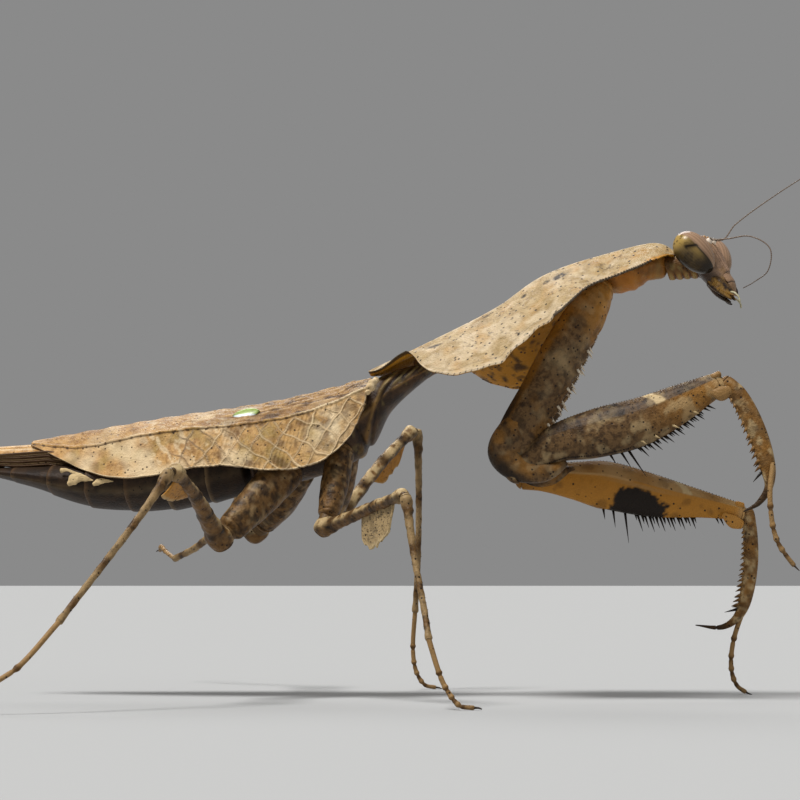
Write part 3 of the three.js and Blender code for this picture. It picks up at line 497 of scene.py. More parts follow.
def forewing(way):
    """Grids of the wing's top and underside, and what marks each point: a roof from the inner edge to the
    main vein, then a side down to the margin, with raised veins and domed cells between them."""
    u, v = grid(np.linspace(0, 1, 330), np.linspace(0, 1, 144))
    x = WING_ROOT + (WING_TIP - WING_ROOT) * u**1.35
    top, vein_out, vein_up = track(WING_TOP, x), track(VEIN_OUT, x), track(VEIN_UP, x)
    roof_part = v < ROOF
    f = np.where(roof_part, v / ROOF, (v - ROOF) / (1 - ROOF))
    out = np.where(roof_part, 0.1 + (vein_out - 0.1) * f, vein_out + (track(EDGE_OUT, x) - vein_out) * f)
    up = np.where(roof_part, top + (vein_up - top) * f**1.5, vein_up + (track(EDGE_UP, x) - vein_up) * f)
    hang = np.where(roof_part, 0, f * (vein_up - track(EDGE_UP, x)))
    side_part = np.where(roof_part, 0.0, ease(0.02, 0.10, f))
    small = veins(x - 0.2 * hang + 0.9, hang + 0.4, 1.2, 1.45, 0.06)
    small = small * ease(0.0, 0.5, np.sin(1.1 * x + 2.3 * hang))
    net = np.maximum(veins(x - 0.25 * hang, hang), 0.34 * small) * side_part
    fade = ease(-24.5, -16.5, x)
    net = net * (0.12 + 0.88 * fade)
    main = crease(np.where(roof_part, (1 - f) * vein_out, hang), 0, 0.16)
    lines = np.zeros_like(x)
    for c in (0.9, 1.8, 2.6, 3.3):
        lines += crease(out - c * ease(-1.0, -7.0, x) - 0.25 * np.sin(x * 0.5 + c), 0, 0.12)
    lines = lines * roof_part * ease(-27, -12, x) * (0.6 + 0.4 * np.sin(x * 4 + out * 5))
    rim = np.where(roof_part, 0, np.maximum(ease(0.965, 0.985, f), 1 - ease(0.004, 0.012, u)))
    dome = 0.10 * (1 - net) * fade * np.where(roof_part, 0, np.sin(np.pi * f))
    crumple = 0.10 * np.sin(0.9 * x + 1.5 * v) * ease(0.1, 0.6, v) + 0.05 * np.sin(2.3 * x - 4 * v)
    fine = 0.035 * np.sin(11 * x + 5 * np.sin(1.7 * out + 0.9 * x))
    fine = fine * np.where(roof_part, 0.5, 1) * ease(-28, -20, x)
    raised = 0.17 * net + 0.11 * lines + 0.16 * main + 0.07 * rim + dome + crumple * 0.9 + fine * (1 - net)
    flat = triple(x, way * out, up)
    normal = unit(np.cross(np.gradient(flat, axis=0), np.gradient(flat, axis=1)))
    normal *= np.where(normal[..., 2:] + way * normal[..., 1:2] * 0.6 < 0, -1.0, 1.0)
    tip = np.clip(1 - u, 0, 1)[..., None]
    thick = 0.16 + 0.06 * np.minimum(v * 4, 1)[..., None]
    upper = flat + normal * (raised[..., None] * np.minimum(tip * 12, 1) - 0.05)
    under = upper - normal * thick
    return upper, under, [mark.ravel() for mark in (net, lines, main, rim, x, f, hang, roof_part)]


WING_PAINT = chitin(
    "wing leather", light=(0.53, 0.305, 0.110), shade=(0.35, 0.182, 0.057), dot=(0.035, 0.020, 0.010),
    dark=(0.055, 0.027, 0.013), ochre=(0.22, 0.17, 0.04), pale=(0.74, 0.58, 0.355), rough=0.5, blotch=1100,
    dots=1450, dot_size=0.17, bump=0.6, coat=0.03)

for side_name, way in SIDES:
    upper, under, (net, lines, main, rim, x, f, hang, roof) = forewing(way)

    def wing_pigment(points, number):
        """Pale veins with painted shadow along their foot, pale worn patches between, dark specks along the
        main vein, olive smudges; the underside dark red-brown."""
        top, low = np.split(points, 2)
        side = ~roof
        vein = np.clip(net * 0.9 + lines * 0.55, 0, 1)
        feather = patches(0.3, 0.6, top * (1, 1, 0.45) + top[:, 2:] * (0.5, 0, 0), 0.55, 37)
        worn = np.maximum.reduce([
            patches(0.05, 0.55, top, 2.7, 31) * 0.75 * (1 - roof * 0.55),
            0.6 * patches(0.0, 0.4, top, 1.2, 35) * ease(-22, -19, x) * (1 - ease(-15.5, -13, x)),
            0.6 * feather * ease(-29, -24, x) * (1 - ease(-17, -14, x)),
            0.95 * side * bell(x, hang, (-6.2, 2.6), (2.0, 2.4)) * patches(-0.7, 0.1, top, 0.9, 38)])
        pale = np.maximum.reduce([
            worn * (1 - 0.35 * vein), 0.75 * vein, 0.9 * main * ease(-12, -8, x), 0.9 * rim])
        olive = (0.42 * patches(0.0, 0.6, top, 1.6, 32) + 0.12 * ease(-18, -12, x)) * side
        by_main = side * (x < -8)
        dark = np.maximum.reduce([
            by_main * crease(hang, 0.16, 0.10) * (np.cos(x * 5.4 + 1.5 * np.sin(x)) > 0.80),
            0.75 * by_main * crease(hang, 0.16, 0.05),
            # Painted shadow along both sides of each raised vein.
            0.65 * ease(0.08, 0.30, net) * (1 - ease(0.35, 0.7, net)),
            0.6 * patches(-0.1, 0.6, top, 0.8, 33) * (0.35 + 0.65 * ease(-22, -14, x)) * (1 - vein),
            0.5 * ease(0.985, 1.0, f) * side,
            roof * (0.35 + 0.65 * ease(-22, -10, x))
            * (0.44 + 0.50 * patches(-0.1, 0.4, top * (0.35, 1, 1), 0.45, 34)) * (1 - 0.7 * lines)])
        return np.concatenate([triple(dark, olive, pale), triple(0.45 + 0.25 * lumps(low, 1.5, 36), 0, 0)])

    build(f"forewing_{side_name}_leaf", [slab(upper, under)], "wing", f"forewing_{side_name}",
          paint=WING_PAINT, pigment=wing_pigment)

    a, b = grid(np.linspace(0, 1, 160), np.linspace(0, 1, 40))
    x = -9.1 - 35.2 * a
    tip = np.sqrt(np.clip(1 - (np.maximum(0, -30 - x) / 15) ** 2, 0, 1))
    tip = tip * np.sqrt(1 - ease(0.9, 1.0, a) * 0.85)
    half = 0.35 + (track(VEIN_OUT, np.maximum(x, -30)) - 1.3) * tip
    out = 0.1 + b * half
    below = np.maximum(x, WING_TIP + 2)
    share = np.clip(out / track(VEIN_OUT, below), 0, 1)
    height = track(WING_TOP, below) + (track(VEIN_UP, below) - track(WING_TOP, below)) * share**1.5
    height = height - 0.06 * (below - x) - 0.62 - 0.03 * np.sin(16 * b)
    hind_top = triple(x, way * out, height)

    def hindwing_pigment(points, number):
        """Tan with a dark reddish outer margin and fine pale ribs."""
        across = np.tile(b.ravel(), 2)
        return triple(0.8 * ease(0.72, 0.95, across), 0, 0.5 * (np.sin(16 * across) > 0.6) * (across < 0.7))

    # Under its outer margin the hindwing's other pleats show as a thin dark stack.
    margin = hind_top[60:, -1]
    down = np.linspace(0, 1, 40)
    deep = 1.5 * (1 - 0.45 * ease(38, 44, -margin[:, 0]))
    pleats = way * (0.10 * np.sin(22 * down) - 0.35 * down)
    stack = margin[:, None] + triple(0, pleats, -deep[:, None] * down)

    def pleat_pigment(points, number):
        """The upper fold as above; the pleats dark red-brown with fine light edges."""
        if number == 0:
            return hindwing_pigment(points, number)
        fall = np.tile(np.tile(down, len(margin)), 2)
        light = np.sin(22 * fall) * way > 0.93
        return triple(0.92 - 0.55 * light, 0, 0.5 * light)

    folds = [slab(hind_top, hind_top - (0, 0, 0.25)), slab(stack, stack - (0, way * 0.25, 0))]
    build(f"hindwing_{side_name}_fold", folds, "wing", f"hindwing_{side_name}", paint=WING_PAINT,
          pigment=pleat_pigment)


# ---- Neck and front body tube ----
# Under the shield the long first body ring is a slim horny tube, fuller where the fore legs join it. A soft
# neck of stacked folds joins it to the head.
def oval(centre, wide, deep, sides=48, form=None):
    """Rings of an oval round each centre: wide and deep are half-axes as vectors, (rings, 3). Form, (rings,
    sides), makes the oval fuller by that ratio."""
    turn = full_turn(sides)
    reach = np.cos(turn)[None, :, None] * wide[:, None] + np.sin(turn)[None, :, None] * deep[:, None]
    return centre[:, None] + reach * (1 if form is None else form[..., None])


def ring_places(rings):
    """How far along, 0 to 1, and how far round, 0 to 2 pi, each point of a pipe's skin is."""
    rows, sides = rings.shape[:2]
    along, turn = grid(np.linspace(0, 1, rows), full_turn(sides))
    return with_ends(along, 0, 1), with_ends(turn)


def with_ends(values, first=0, last=0):
    """Values on a pipe's rings as values on its skin's points, with those of the middles of its two ends."""
    return np.append(values.ravel(), (first, last))


def closing(to_end, reach, least):
    """How far a ring shrinks where an end closes as a quarter of an oval over that reach."""
    return np.sqrt(np.clip(1 - (1 - np.minimum(to_end / reach, 1)) ** 2, least, 1))


def upright(pairs):
    """Points in the animal's middle plane from their (x, z)."""
    return np.insert(pairs, 1, 0.0, axis=-1)


s = 0.6 + (RIDGE_LENGTH - 5.2) * np.linspace(0, 1, 150)
at, down = on_ridge(s)
hump = 0.5 * crease(s, 5.5, 4)
fall = SHEET * 0.7 + 0.35 + 1.15 + hump
close = closing(np.minimum(s - 0.55, s[-1] + 0.05 - s), 0.9, 0.01)
S, A = grid(s, full_turn(48))
tube_form = (1 + 0.05 * crease(np.sin(A), 0, 0.16) + 0.03 * np.sin(S * 4 + np.cos(A)) * (np.sin(A) > 0)
             + 0.02 * np.cos(6 * A + 0.6 * S))
tube = oval(upright(at) + upright(down) * fall[:, None], np.outer(close * (1.35 + hump), (0, 1, 0)),
            upright(down) * (close * (1.2 + hump))[:, None], form=tube_form)


def tube_pigment(points, number):
    """Ochre under the throat, darker and blotched towards the rear."""
    along, turn = ring_places(tube)
    throat = 1 - ease(0.22, 0.45, along)
    orange = crease(along, 0.17, 0.09)
    ochre = 0.95 * np.maximum(orange, 0.55 * throat) * (0.8 + 0.35 * lumps(points, 0.9, 3)) + 0.2
    dark = patches(0.0, 0.7, points, 1.1, 8) * 0.6 * (1 - 0.7 * orange) + 0.25 * (1 - throat)
    collar = 0.45 * crease(along, 0.03, 0.012) + 0.25 * crease(along, 0.055, 0.006)
    return triple(dark * (1 - collar), ochre, np.maximum(collar, 0.25 * patches(0.2, 0.7, points, 0.6, 9)))


BODY_BROWN = chitin(
    "body chitin", light=(0.070, 0.037, 0.017), shade=(0.030, 0.016, 0.008), dot=(0.015, 0.009, 0.006),
    dark=(0.018, 0.010, 0.007), ochre=(0.42, 0.16, 0.020), pale=(0.30, 0.22, 0.075), rough=0.45, blotch=900,
    dots=1700, dot_size=0.16, bump=0.5, coat=0.05)
build("prothorax_tube", [pipe(tube)], "body", "prothorax", paint=BODY_BROWN, pigment=tube_pigment)

HEAD = np.array((30.6, 0.0, 43.4))
HEAD_TURN, HEAD_TIP = np.radians((20, 25))
LEFT = np.array((np.sin(HEAD_TURN), np.cos(HEAD_TURN), 0))
FORWARD = np.array((np.cos(HEAD_TURN) * np.cos(HEAD_TIP), -np.sin(HEAD_TURN) * np.cos(HEAD_TIP),
                    np.sin(HEAD_TIP)))
UPWARD = np.cross(FORWARD, LEFT)


def on_head(left, forward, up):
    """A point given along the head's own left, face-forward and upward ways from its middle."""
    outer = np.multiply.outer
    return HEAD + outer(left, LEFT) + outer(forward, FORWARD) + outer(up, UPWARD)


NECK_ROOT, NECK_FOLDS = np.array((26.6, 0.0, 42.6)), 4.8


def fold_crest(t):
    """1 on the crest of each fold of the neck and 0 in the clefts, at t along it."""
    return np.abs(np.sin(np.pi * (t * NECK_FOLDS + 0.1)))


t = np.linspace(0, 1, 120)
neck_line = NECK_ROOT + np.outer(t, on_head(0.15, -0.7, -0.2) - NECK_ROOT)
neck_radius = 1.2 + 0.10 * t
T, A = grid(t, full_turn(48))
neck_form = (1 + 0.11 * fold_crest(T) ** 0.7 * (0.15 + 0.85 * ease(-0.4, -0.85, np.sin(A)))
             + 0.03 * np.sin(A * 7 + 1) * np.sin(np.pi * NECK_FOLDS * T) ** 2)
neck = oval(neck_line, np.outer(neck_radius, (0.0, 1.0, 0.0)), np.outer(neck_radius, (-0.3, 0.0, 0.95)),
            form=neck_form)


def neck_pigment(points, number):
    """Painted shade in the clefts between the folds, deepest on the lower side; ochre and pale on their
    crests.
    """
    along, turn = ring_places(neck)
    crest = fold_crest(along)
    low = ease(-0.4, -0.85, np.sin(turn))
    side = 1 - np.abs(np.sin(turn))
    # Painted shade in the clefts between the folds, mostly on the lower side, and dark patches above.
    dark = np.maximum(0.6 * (1 - ease(0.1, 0.6, crest)) * (0.2 + 0.8 * low),
                      0.35 * (1 - low) * patches(-0.4, 0.5, points, 0.6, 17))
    pale = (0.12 * side + 0.75 * low * ease(0.5, 1, crest)
            + 0.4 * patches(0.1, 0.6, points, 0.5, 16) * (1 - low))
    return triple(dark, 0.25 + 0.40 * crest * low, pale)


build("neck_folds", [pipe(neck)], "body", "neck", paint=BODY_BROWN, pigment=neck_pigment)


# ---- Rear thorax ----
# The second and third body rings are one deep, steep trunk that carries the wings above and the four walking
# legs below: dark brown plates with raised olive seams between them.
def walked(line, t):
    """The points at t, from 0 to 1, along a line of even points."""
    return np.stack([np.interp(t, np.linspace(0, 1, len(line)), v) for v in line.T], -1)


TRUNK_SIDES = 72
CAP_RINGS = 7  # rings that close each end of a limb


def trunk(back, belly, half, t, form):
    """Rings between a back line and a belly line, at t from 0 to 1 along both, as wide as the half-width
    tracked over t; form makes each ring fuller."""
    a, b = (walked(route(line, 400)[0], t) for line in (back, belly))
    wide = np.outer(track(half, t), (0, 1, 0))
    return oval(upright(a + b) / 2, wide, upright(a - b) / 2, TRUNK_SIDES, form)


def limb(path, half, thin=1.0, rows=90, sides=36, form=None, up=(0, 0, 1), ends=(0.7, 0.7)):
    """Rings of an oval along a smooth path: half-depth tracked along it, thin times that across, ends closed
    as half ovals. form(t, a) makes it fuller at t along and a round: 0 is across, a quarter turn is up."""
    line, _, _ = route(np.column_stack([path, half]), rows)
    way, deep = unit(np.gradient(line[:, :3], axis=0)), line[:, 3]
    past = np.sin(np.linspace(np.pi / 2, 0, CAP_RINGS, endpoint=False))
    shrink = np.sqrt(np.clip(1 - past**2, 0.01, 1))
    first = line[:1, :3] - way[:1] * (ends[0] * deep[0] * past[::-1])[:, None]
    last = line[-1:, :3] + way[-1:] * (ends[1] * deep[-1] * past)[:, None]
    centre = np.concatenate([first, line[:, :3], last])
    way = np.concatenate([np.repeat(way[:1], CAP_RINGS, 0), way, np.repeat(way[-1:], CAP_RINGS, 0)])
    size = np.concatenate([deep[0] * shrink[::-1], deep, deep[-1] * shrink])
    across = unit(np.cross(way, np.array(up, float)))
    high = np.cross(across, way)
    t = np.concatenate([np.zeros(CAP_RINGS), np.linspace(0, 1, rows), np.ones(CAP_RINGS)])
    shape = form(*grid(t, full_turn(sides))) if form else None
    return oval(centre, across * (size * thin)[:, None], high * size[:, None], sides, shape)


THORAX_BACK = [(4.4, 34.1), (0.9, 33.0), (-1.4, 32.25), (-3.4, 31.3), (-7.7, 29.6), (-15.3, 27.3)]
THORAX_BELLY = [(4.2, 33.0), (-0.8, 28.7), (-2.9, 24.9), (-6.7, 22.6), (-14.9, 20.4)]
THORAX_HALF = [(0, 1.1), (0.12, 1.7), (0.25, 2.1), (0.5, 2.9), (0.75, 3.5), (1, 3.9)]
t = np.linspace(0, 1, 220)
T, A = grid(t, full_turn(TRUNK_SIDES))
side = np.sin(A)
thorax_seam = (crease(T, 0.50 + 0.03 * side, 0.012) + 0.7 * crease(T + 0.16 * side, 0.30, 0.014)
               + 0.7 * crease(T + 0.14 * side, 0.72, 0.014) + 0.6 * crease(T, 0.86, 0.012))
thorax_ridge = (crease(side, -0.25 + 0.5 * T, 0.07) + crease(T + 0.16 * side, 0.345, 0.02)
                + crease(T + 0.14 * side, 0.765, 0.02)) * (1 - thorax_seam).clip(0, 1)
ends = closing(np.minimum(T, 1 - T), 0.03, 0.02)
wrinkle = np.sin(95 * T + 9 * side + 3 * np.sin(9 * T)) * ease(-0.1, 0.4, side) * (1 - ease(0.30, 0.42, T))
thorax = trunk(THORAX_BACK, THORAX_BELLY, THORAX_HALF, t,
               ends * (1 - 0.07 * thorax_seam + 0.06 * thorax_ridge + 0.02 * np.sin(19 * T) * np.cos(3 * A)
                       + 0.022 * wrinkle))


def thorax_pigment(points, number):
    """Olive and purple-brown on the raised seams and the wrinkles in front, dark along the seams between the
    plates, with painted shade in the troughs of the wrinkles.
    """
    seam = with_ends(thorax_seam)
    ridge_here = with_ends(thorax_ridge)
    front = with_ends(ease(-0.2, 0.3, side) * (1 - ease(0.25, 0.40, T)))
    fold = with_ends(wrinkle)
    # Dark along the seams and in patches; painted shade in the troughs of the wrinkles.
    dark = 0.7 * seam + 0.6 * patches(0.0, 0.6, points, 1.0, 11) + 0.5 * ease(0.1, 0.8, -fold)
    pale = (0.40 * ridge_here * (0.6 + 0.4 * lumps(points, 0.8, 12))
            + 0.25 * patches(0.3, 0.7, points, 0.6, 13)
            + 0.42 * front * ease(-0.4, 0.7, fold))
    return triple(dark, 0.25 * ridge_here, pale)


build("rear_thorax_plates", [pipe(thorax)], "body", "mesothorax", "metathorax", paint=BODY_BROWN,
      pigment=thorax_pigment)


# ---- Abdomen ----
# Horny rings that slide into each other like a telescope, flat below, with a small leaf-like lobe on the side
# of some; two short jointed feelers, the cerci, at the end.
ABDOMEN_BACK = [(-15.4, 27.2), (-24.5, 25.3), (-34.9, 23.5), (-43.6, 23.1)]
ABDOMEN_BELLY = [(-15, 20.3), (-23.5, 18.7), (-31.3, 19), (-37.6, 21.1), (-43.6, 22.7)]
ABDOMEN_HALF = [(0, 4), (0.3, 5.0), (0.5, 4.75), (0.65, 4.4), (0.85, 3.0), (1, 0.9)]
ABDOMEN_START, ABDOMEN_LENGTH, SEGMENTS = -15.4, 28.2, 7
FLANK = -0.35  # the sine of the turn where the olive flank line runs
inside = np.linspace(0, 1, 44)
flare = 0.955 + 0.065 * inside**1.5 - 0.10 * (inside > 0.985)
ends = closing(np.minimum(inside, 1 - inside), 0.06, 0.25)
T, A = grid(inside, full_turn(TRUNK_SIDES))
form = (flare * ends)[:, None] * (1 + 0.035 * crease(np.sin(A), FLANK, 0.10) + 0.012 * np.sin(9 * A) * T)
abdomen_rings = []
for k in range(SEGMENTS):
    t = np.linspace(k / SEGMENTS - 0.02 * (k > 0), (k + 1) / SEGMENTS, len(inside))
    abdomen_rings.append(trunk(ABDOMEN_BACK, ABDOMEN_BELLY, ABDOMEN_HALF, t, form))


# The cream lobes on the flank, seen from the side: their lines and half-depths.
LOBES = [([(-31.5, 22.05), (-32.5, 22.5), (-33.1, 22.7), (-33.6, 22.65)], [0.24, 0.13, 0.15, 0.26]),
         ([(-30.3, 21.63), (-31, 21.8), (-31.7, 21.9), (-32.3, 21.7), (-32.8, 21.3)],
          [0.05, 0.26, 0.44, 0.56, 0.26]),
         ([(-28.2, 21.53), (-29.1, 21.56), (-29.7, 21.46), (-30.2, 21.25)], [0.04, 0.22, 0.32, 0.2])]


def lobe_form(t, a):
    """Low uneven lumps."""
    return 1 + 0.06 * np.sin(23 * t + 2) + 0.09 * np.sin(3 * a + 5 * t)


for way in (-1, 1):
    for line, half in LOBES:
        x, z = np.array(line).T
        y = way * (track(ABDOMEN_HALF, (ABDOMEN_START - x) / ABDOMEN_LENGTH) + 0.06)
        abdomen_rings.append(limb(triple(x, y, z), half, 0.35, rows=40, sides=28, form=lobe_form))


def abdomen_pigment(points, number):
    """Dark rings with a paler rear edge and an olive flank; cream lobes."""
    if number >= SEGMENTS:
        return triple(0.16 * patches(0.1, 0.6, points, 0.5, 21), 0.15,
                      1.0 - 0.25 * patches(0, 0.6, points, 0.6, 22))
    along, turn = ring_places(abdomen_rings[number])
    flank = crease(np.sin(turn), FLANK, 0.14)
    rear = ease(0.82, 0.95, along)
    pale = 0.10 * flank * (0.6 + 0.5 * lumps(points, 0.9, 23)) + 0.12 * rear * (number < 2) + 0.04 * rear
    return triple(0.45 * patches(0.0, 0.7, points, 1.5, 24), 0.14 * rear, pale)


ABDOMEN_BROWN = chitin(
    "abdomen chitin", light=(0.032, 0.017, 0.008), shade=(0.015, 0.008, 0.004), dot=(0.012, 0.008, 0.005),
    dark=(0.012, 0.007, 0.005), ochre=(0.22, 0.08, 0.02), pale=(0.62, 0.455, 0.235), rough=0.55, blotch=650,
    dots=1600, dot_size=0.17, bump=0.45)
build("abdomen_rings", [pipe(rings) for rings in abdomen_rings], "body",
      *[f"abdomen_segment_{k + 1}" for k in range(SEGMENTS)], paint=ABDOMEN_BROWN, pigment=abdomen_pigment)


# ---- Places and teeth on a limb ----
# The legs' spines, tubercles and teeth are small horny cones that stand on a limb's skin, each set by how far
# along the limb and how far round it is.
def on_limb(rings, t, turn, out=0.0):
    """Points on a limb's skin at t along and turn round it, moved out, with the outward and forward ways."""
    rows, sides = rings.shape[:2]
    t, turn = np.broadcast_arrays(np.asarray(t, float), np.asarray(turn, float))
    row = np.clip(CAP_RINGS + np.round(t * (rows - 2 * CAP_RINGS - 1)).astype(int), 1, rows - 2)
    column = np.round(turn / (2 * np.pi) * sides).astype(int) % sides
    at = rings[row, column]
    way = unit(rings[row + 1].mean(1) - rings[row - 1].mean(1))
    outward = at - rings[row].mean(1)
    outward -= way * (outward * way).sum(-1, keepdims=True)
    outward = unit(outward)
    return at + outward * out, outward, way


def teeth(rings, t, turn, length, radius, lean, sink=0.1):
    """Spines on a limb at each t and turn: length out of its skin, leaning forward by lean of the length."""
    at, outward, way = on_limb(rings, t, turn, -sink)
    length = np.broadcast_to(np.asarray(length, float), at.shape[:1])
    radius = np.broadcast_to(np.asarray(radius, float), at.shape[:1])
    tip = at + outward * (length + sink)[:, None] + way * (length * lean)[:, None]
    return thorns(at, tip, radius)


# ---- Wing spots and wing roots ----
# A small shining spot on each forewing's roof, just above the main vein: a low horny lens, green with a white
# lower edge, grown into the wing. At the wing's root two pale knobs of the same horn hinge it to the thorax.
SPOT_AT = -15.1
SPOT_LENS = chitin(
    "wing spot", light=(0.30, 0.40, 0.09), shade=(0.24, 0.30, 0.07), dot=(0.2, 0.2, 0.1),
    dark=(0.06, 0.05, 0.02), ochre=(0.3, 0.3, 0.1), pale=(0.70, 0.76, 0.80), rough=0.25, blotch=2500,
    dots=3000, dot_size=0.05, bump=0.1, coat=0.4)
for side_name, way in SIDES:
    slope = np.array((0.0, way * 0.66, -0.75))
    middle = np.array((SPOT_AT, way * 3.0, 28.30))
    a = np.linspace(0.05, np.pi - 0.05, 40)
    lens = oval(middle + np.outer(-1.4 * np.cos(a), (1.0, 0.0, 0.16)),
                np.outer(0.68 * np.sin(a) ** 1.4, slope),
                np.outer(0.20 * np.sin(a), (0.0, way * 0.75, 0.66)), 32)

    def spot_pigment(points, number):
        """White towards its lower edge and dark at its two ends."""
        low = (points - middle) @ slope
        return triple(0.7 * ease(1.0, 1.4, np.abs(points[:, 0] - SPOT_AT)), 0, ease(0.16, 0.36, low))

    build(f"forewing_{side_name}_spot", [pipe(lens)], "wing", paint=SPOT_LENS, pigment=spot_pigment)

    knobs = [limb([(-1.9, way * 3.2, 31.6), (-2.3, way * 3.5, 31.1), (-2.7, way * 3.6, 30.7)],
                  [0.26, 0.42, 0.30], rows=30, sides=24, form=lambda t, a: 1 + 0.12 * np.sin(9 * t + 2 * a)),
             limb([(-2.3, way * 3.55, 30.7), (-2.8, way * 3.7, 30.2)], [0.30, 0.26], 0.8, rows=20, sides=24,
                  form=lambda t, a: 1 + 0.10 * np.sin(7 * t + 3 * a))]

    def knob_pigment(points, number):
        """Cream, with brown in patches."""
        return triple(0.45 * patches(0.2, 0.6, points, 0.35, 14), 0.25, 0.65 + 0.3 * lumps(points, 0.5, 15))

    build(f"forewing_{side_name}_root", [pipe(k) for k in knobs], "wing", paint=WING_PAINT,
          pigment=knob_pigment)


# ---- Head ----
# A hard triangular capsule, turned a little to the right and tipped up, with upright ridges down its face and
# three small simple eyes on top. The jaws and their jointed feelers hang below it.
HEAD_WIDE = [(2.6, 0.9), (2.1, 1.75), (1.2, 2.35), (0.2, 2.5), (-1.2, 2.0), (-2.6, 1.35), (-3.2, 1.05),
             (-3.7, 0.8)]
HEAD_DEEP = [(2.6, 0.6), (2.1, 1.0), (1.2, 1.3), (0.2, 1.45), (-1.2, 1.4), (-2.6, 1.2), (-3.7, 0.8)]
HEAD_PUSH = [(2.6, -0.2), (2, -0.1), (1.2, 0), (0.2, 0), (-1.2, 0.1), (-2.6, 0.35), (-3.7, 0.5)]
HEAD_TOP, HEAD_LOW, HEAD_SIDES = 2.6, -3.7, 144
heights = np.linspace(HEAD_TOP, HEAD_LOW, 190)
H, A = grid(heights, full_turn(HEAD_SIDES))
front = np.clip(np.sin(A), 0, 1)
sideways = np.cos(A) * track(HEAD_WIDE, heights)[:, None]
face = ease(-2.5, -2.0, H) * (1 - ease(0.7, 1.3, H))
ribs = (crease(np.abs(sideways), 0.42 + 0.10 * H, 0.09)
        + 0.8 * crease(np.abs(sideways), 0.86 + 0.17 * H, 0.08)
        + 0.6 * crease(sideways, 0, 0.07))
head_ridge = ribs * front**2 * face
head_seam = (front**2 * (crease(H, -2.25 - 0.35 * sideways**2, 0.06) + crease(H, -3.35, 0.05))
             + ease(1.3, 1.8, H) * crease(np.abs(np.cos(A)), 0.45, 0.05))
pits = front * bell(np.abs(sideways), H, (0.5, 1.25), (0.30, 0.30))
temple = crease(np.abs(np.cos(A)), 0.55, 0.12) * (np.sin(A) < 0) * ease(-1.5, 0.5, H)
capsule_form = (1 + 0.085 * head_ridge - 0.05 * head_seam - 0.10 * pits + 0.05 * temple
                + 0.012 * np.sin(26 * A) * face * front)
close = closing(np.minimum((HEAD_TOP - heights) / 0.5, (heights - HEAD_LOW) / 0.25), 1, 0.01)
capsule = oval(on_head(0, track(HEAD_PUSH, heights), heights),
               np.outer(track(HEAD_WIDE, heights) * close, LEFT),
               np.outer(track(HEAD_DEEP, heights) * close, FORWARD), HEAD_SIDES, capsule_form)
simple_eyes = []
for left, forward, up in ((0, 1.13, 1.62), (-0.42, 0.93, 1.95), (0.42, 0.93, 1.95)):
    a = np.linspace(0.2, np.pi - 0.2, 12)
    simple_eyes.append(pipe(oval(on_head(left, forward - 0.13 * np.cos(a), up),
                                 np.outer(0.17 * np.sin(a), LEFT), np.outer(0.17 * np.sin(a), UPWARD), 20)))


def head_pigment(points, number):
    """Pinkish ridges on a brown face, dark cheeks and sutures, tan on top; amber simple eyes."""
    if number:
        return 0.1, 0.9, 0.4
    ridges, seams = with_ends(head_ridge), with_ends(head_seam)
    height, ahead = with_ends(H, HEAD_TOP, HEAD_LOW), np.sin(with_ends(A))
    cheek = (1 - ease(0.0, 0.75, ahead)) * (1 - ease(-0.8, 1.0, height))
    between = (1 - ridges) * ease(-2.4, -1.8, height) * (1 - ease(0.5, 1.2, height)) * (ahead > 0.3)
    dark = np.maximum.reduce([0.8 * np.clip(seams, 0, 1), 0.9 * cheek,
                              0.35 * patches(0.1, 0.7, points, 0.7, 91),
                              0.45 * between * patches(-0.8, 0.5, points, 0.35, 93)])
    ochre = 0.55 * (1 - ease(-2.9, -2.3, height)) + 0.2 * patches(0, 0.6, points, 0.9, 92)
    pale = np.maximum(0.8 * np.clip(ridges, 0, 1), 0.35 * ease(1.2, 2.2, height))
    return triple(dark, ochre, pale)


FACE_HORN = chitin(
    "face horn", light=(0.30, 0.185, 0.115), shade=(0.20, 0.12, 0.072), dot=(0.03, 0.018, 0.012),
    dark=(0.030, 0.017, 0.011), ochre=(0.44, 0.24, 0.05), pale=(0.42, 0.258, 0.17), rough=0.36, blotch=1500,
    dots=2400, dot_size=0.12, bump=0.3, coat=0.2)
build("head_capsule", [pipe(capsule)] + simple_eyes, "face", "head", paint=FACE_HORN, pigment=head_pigment)

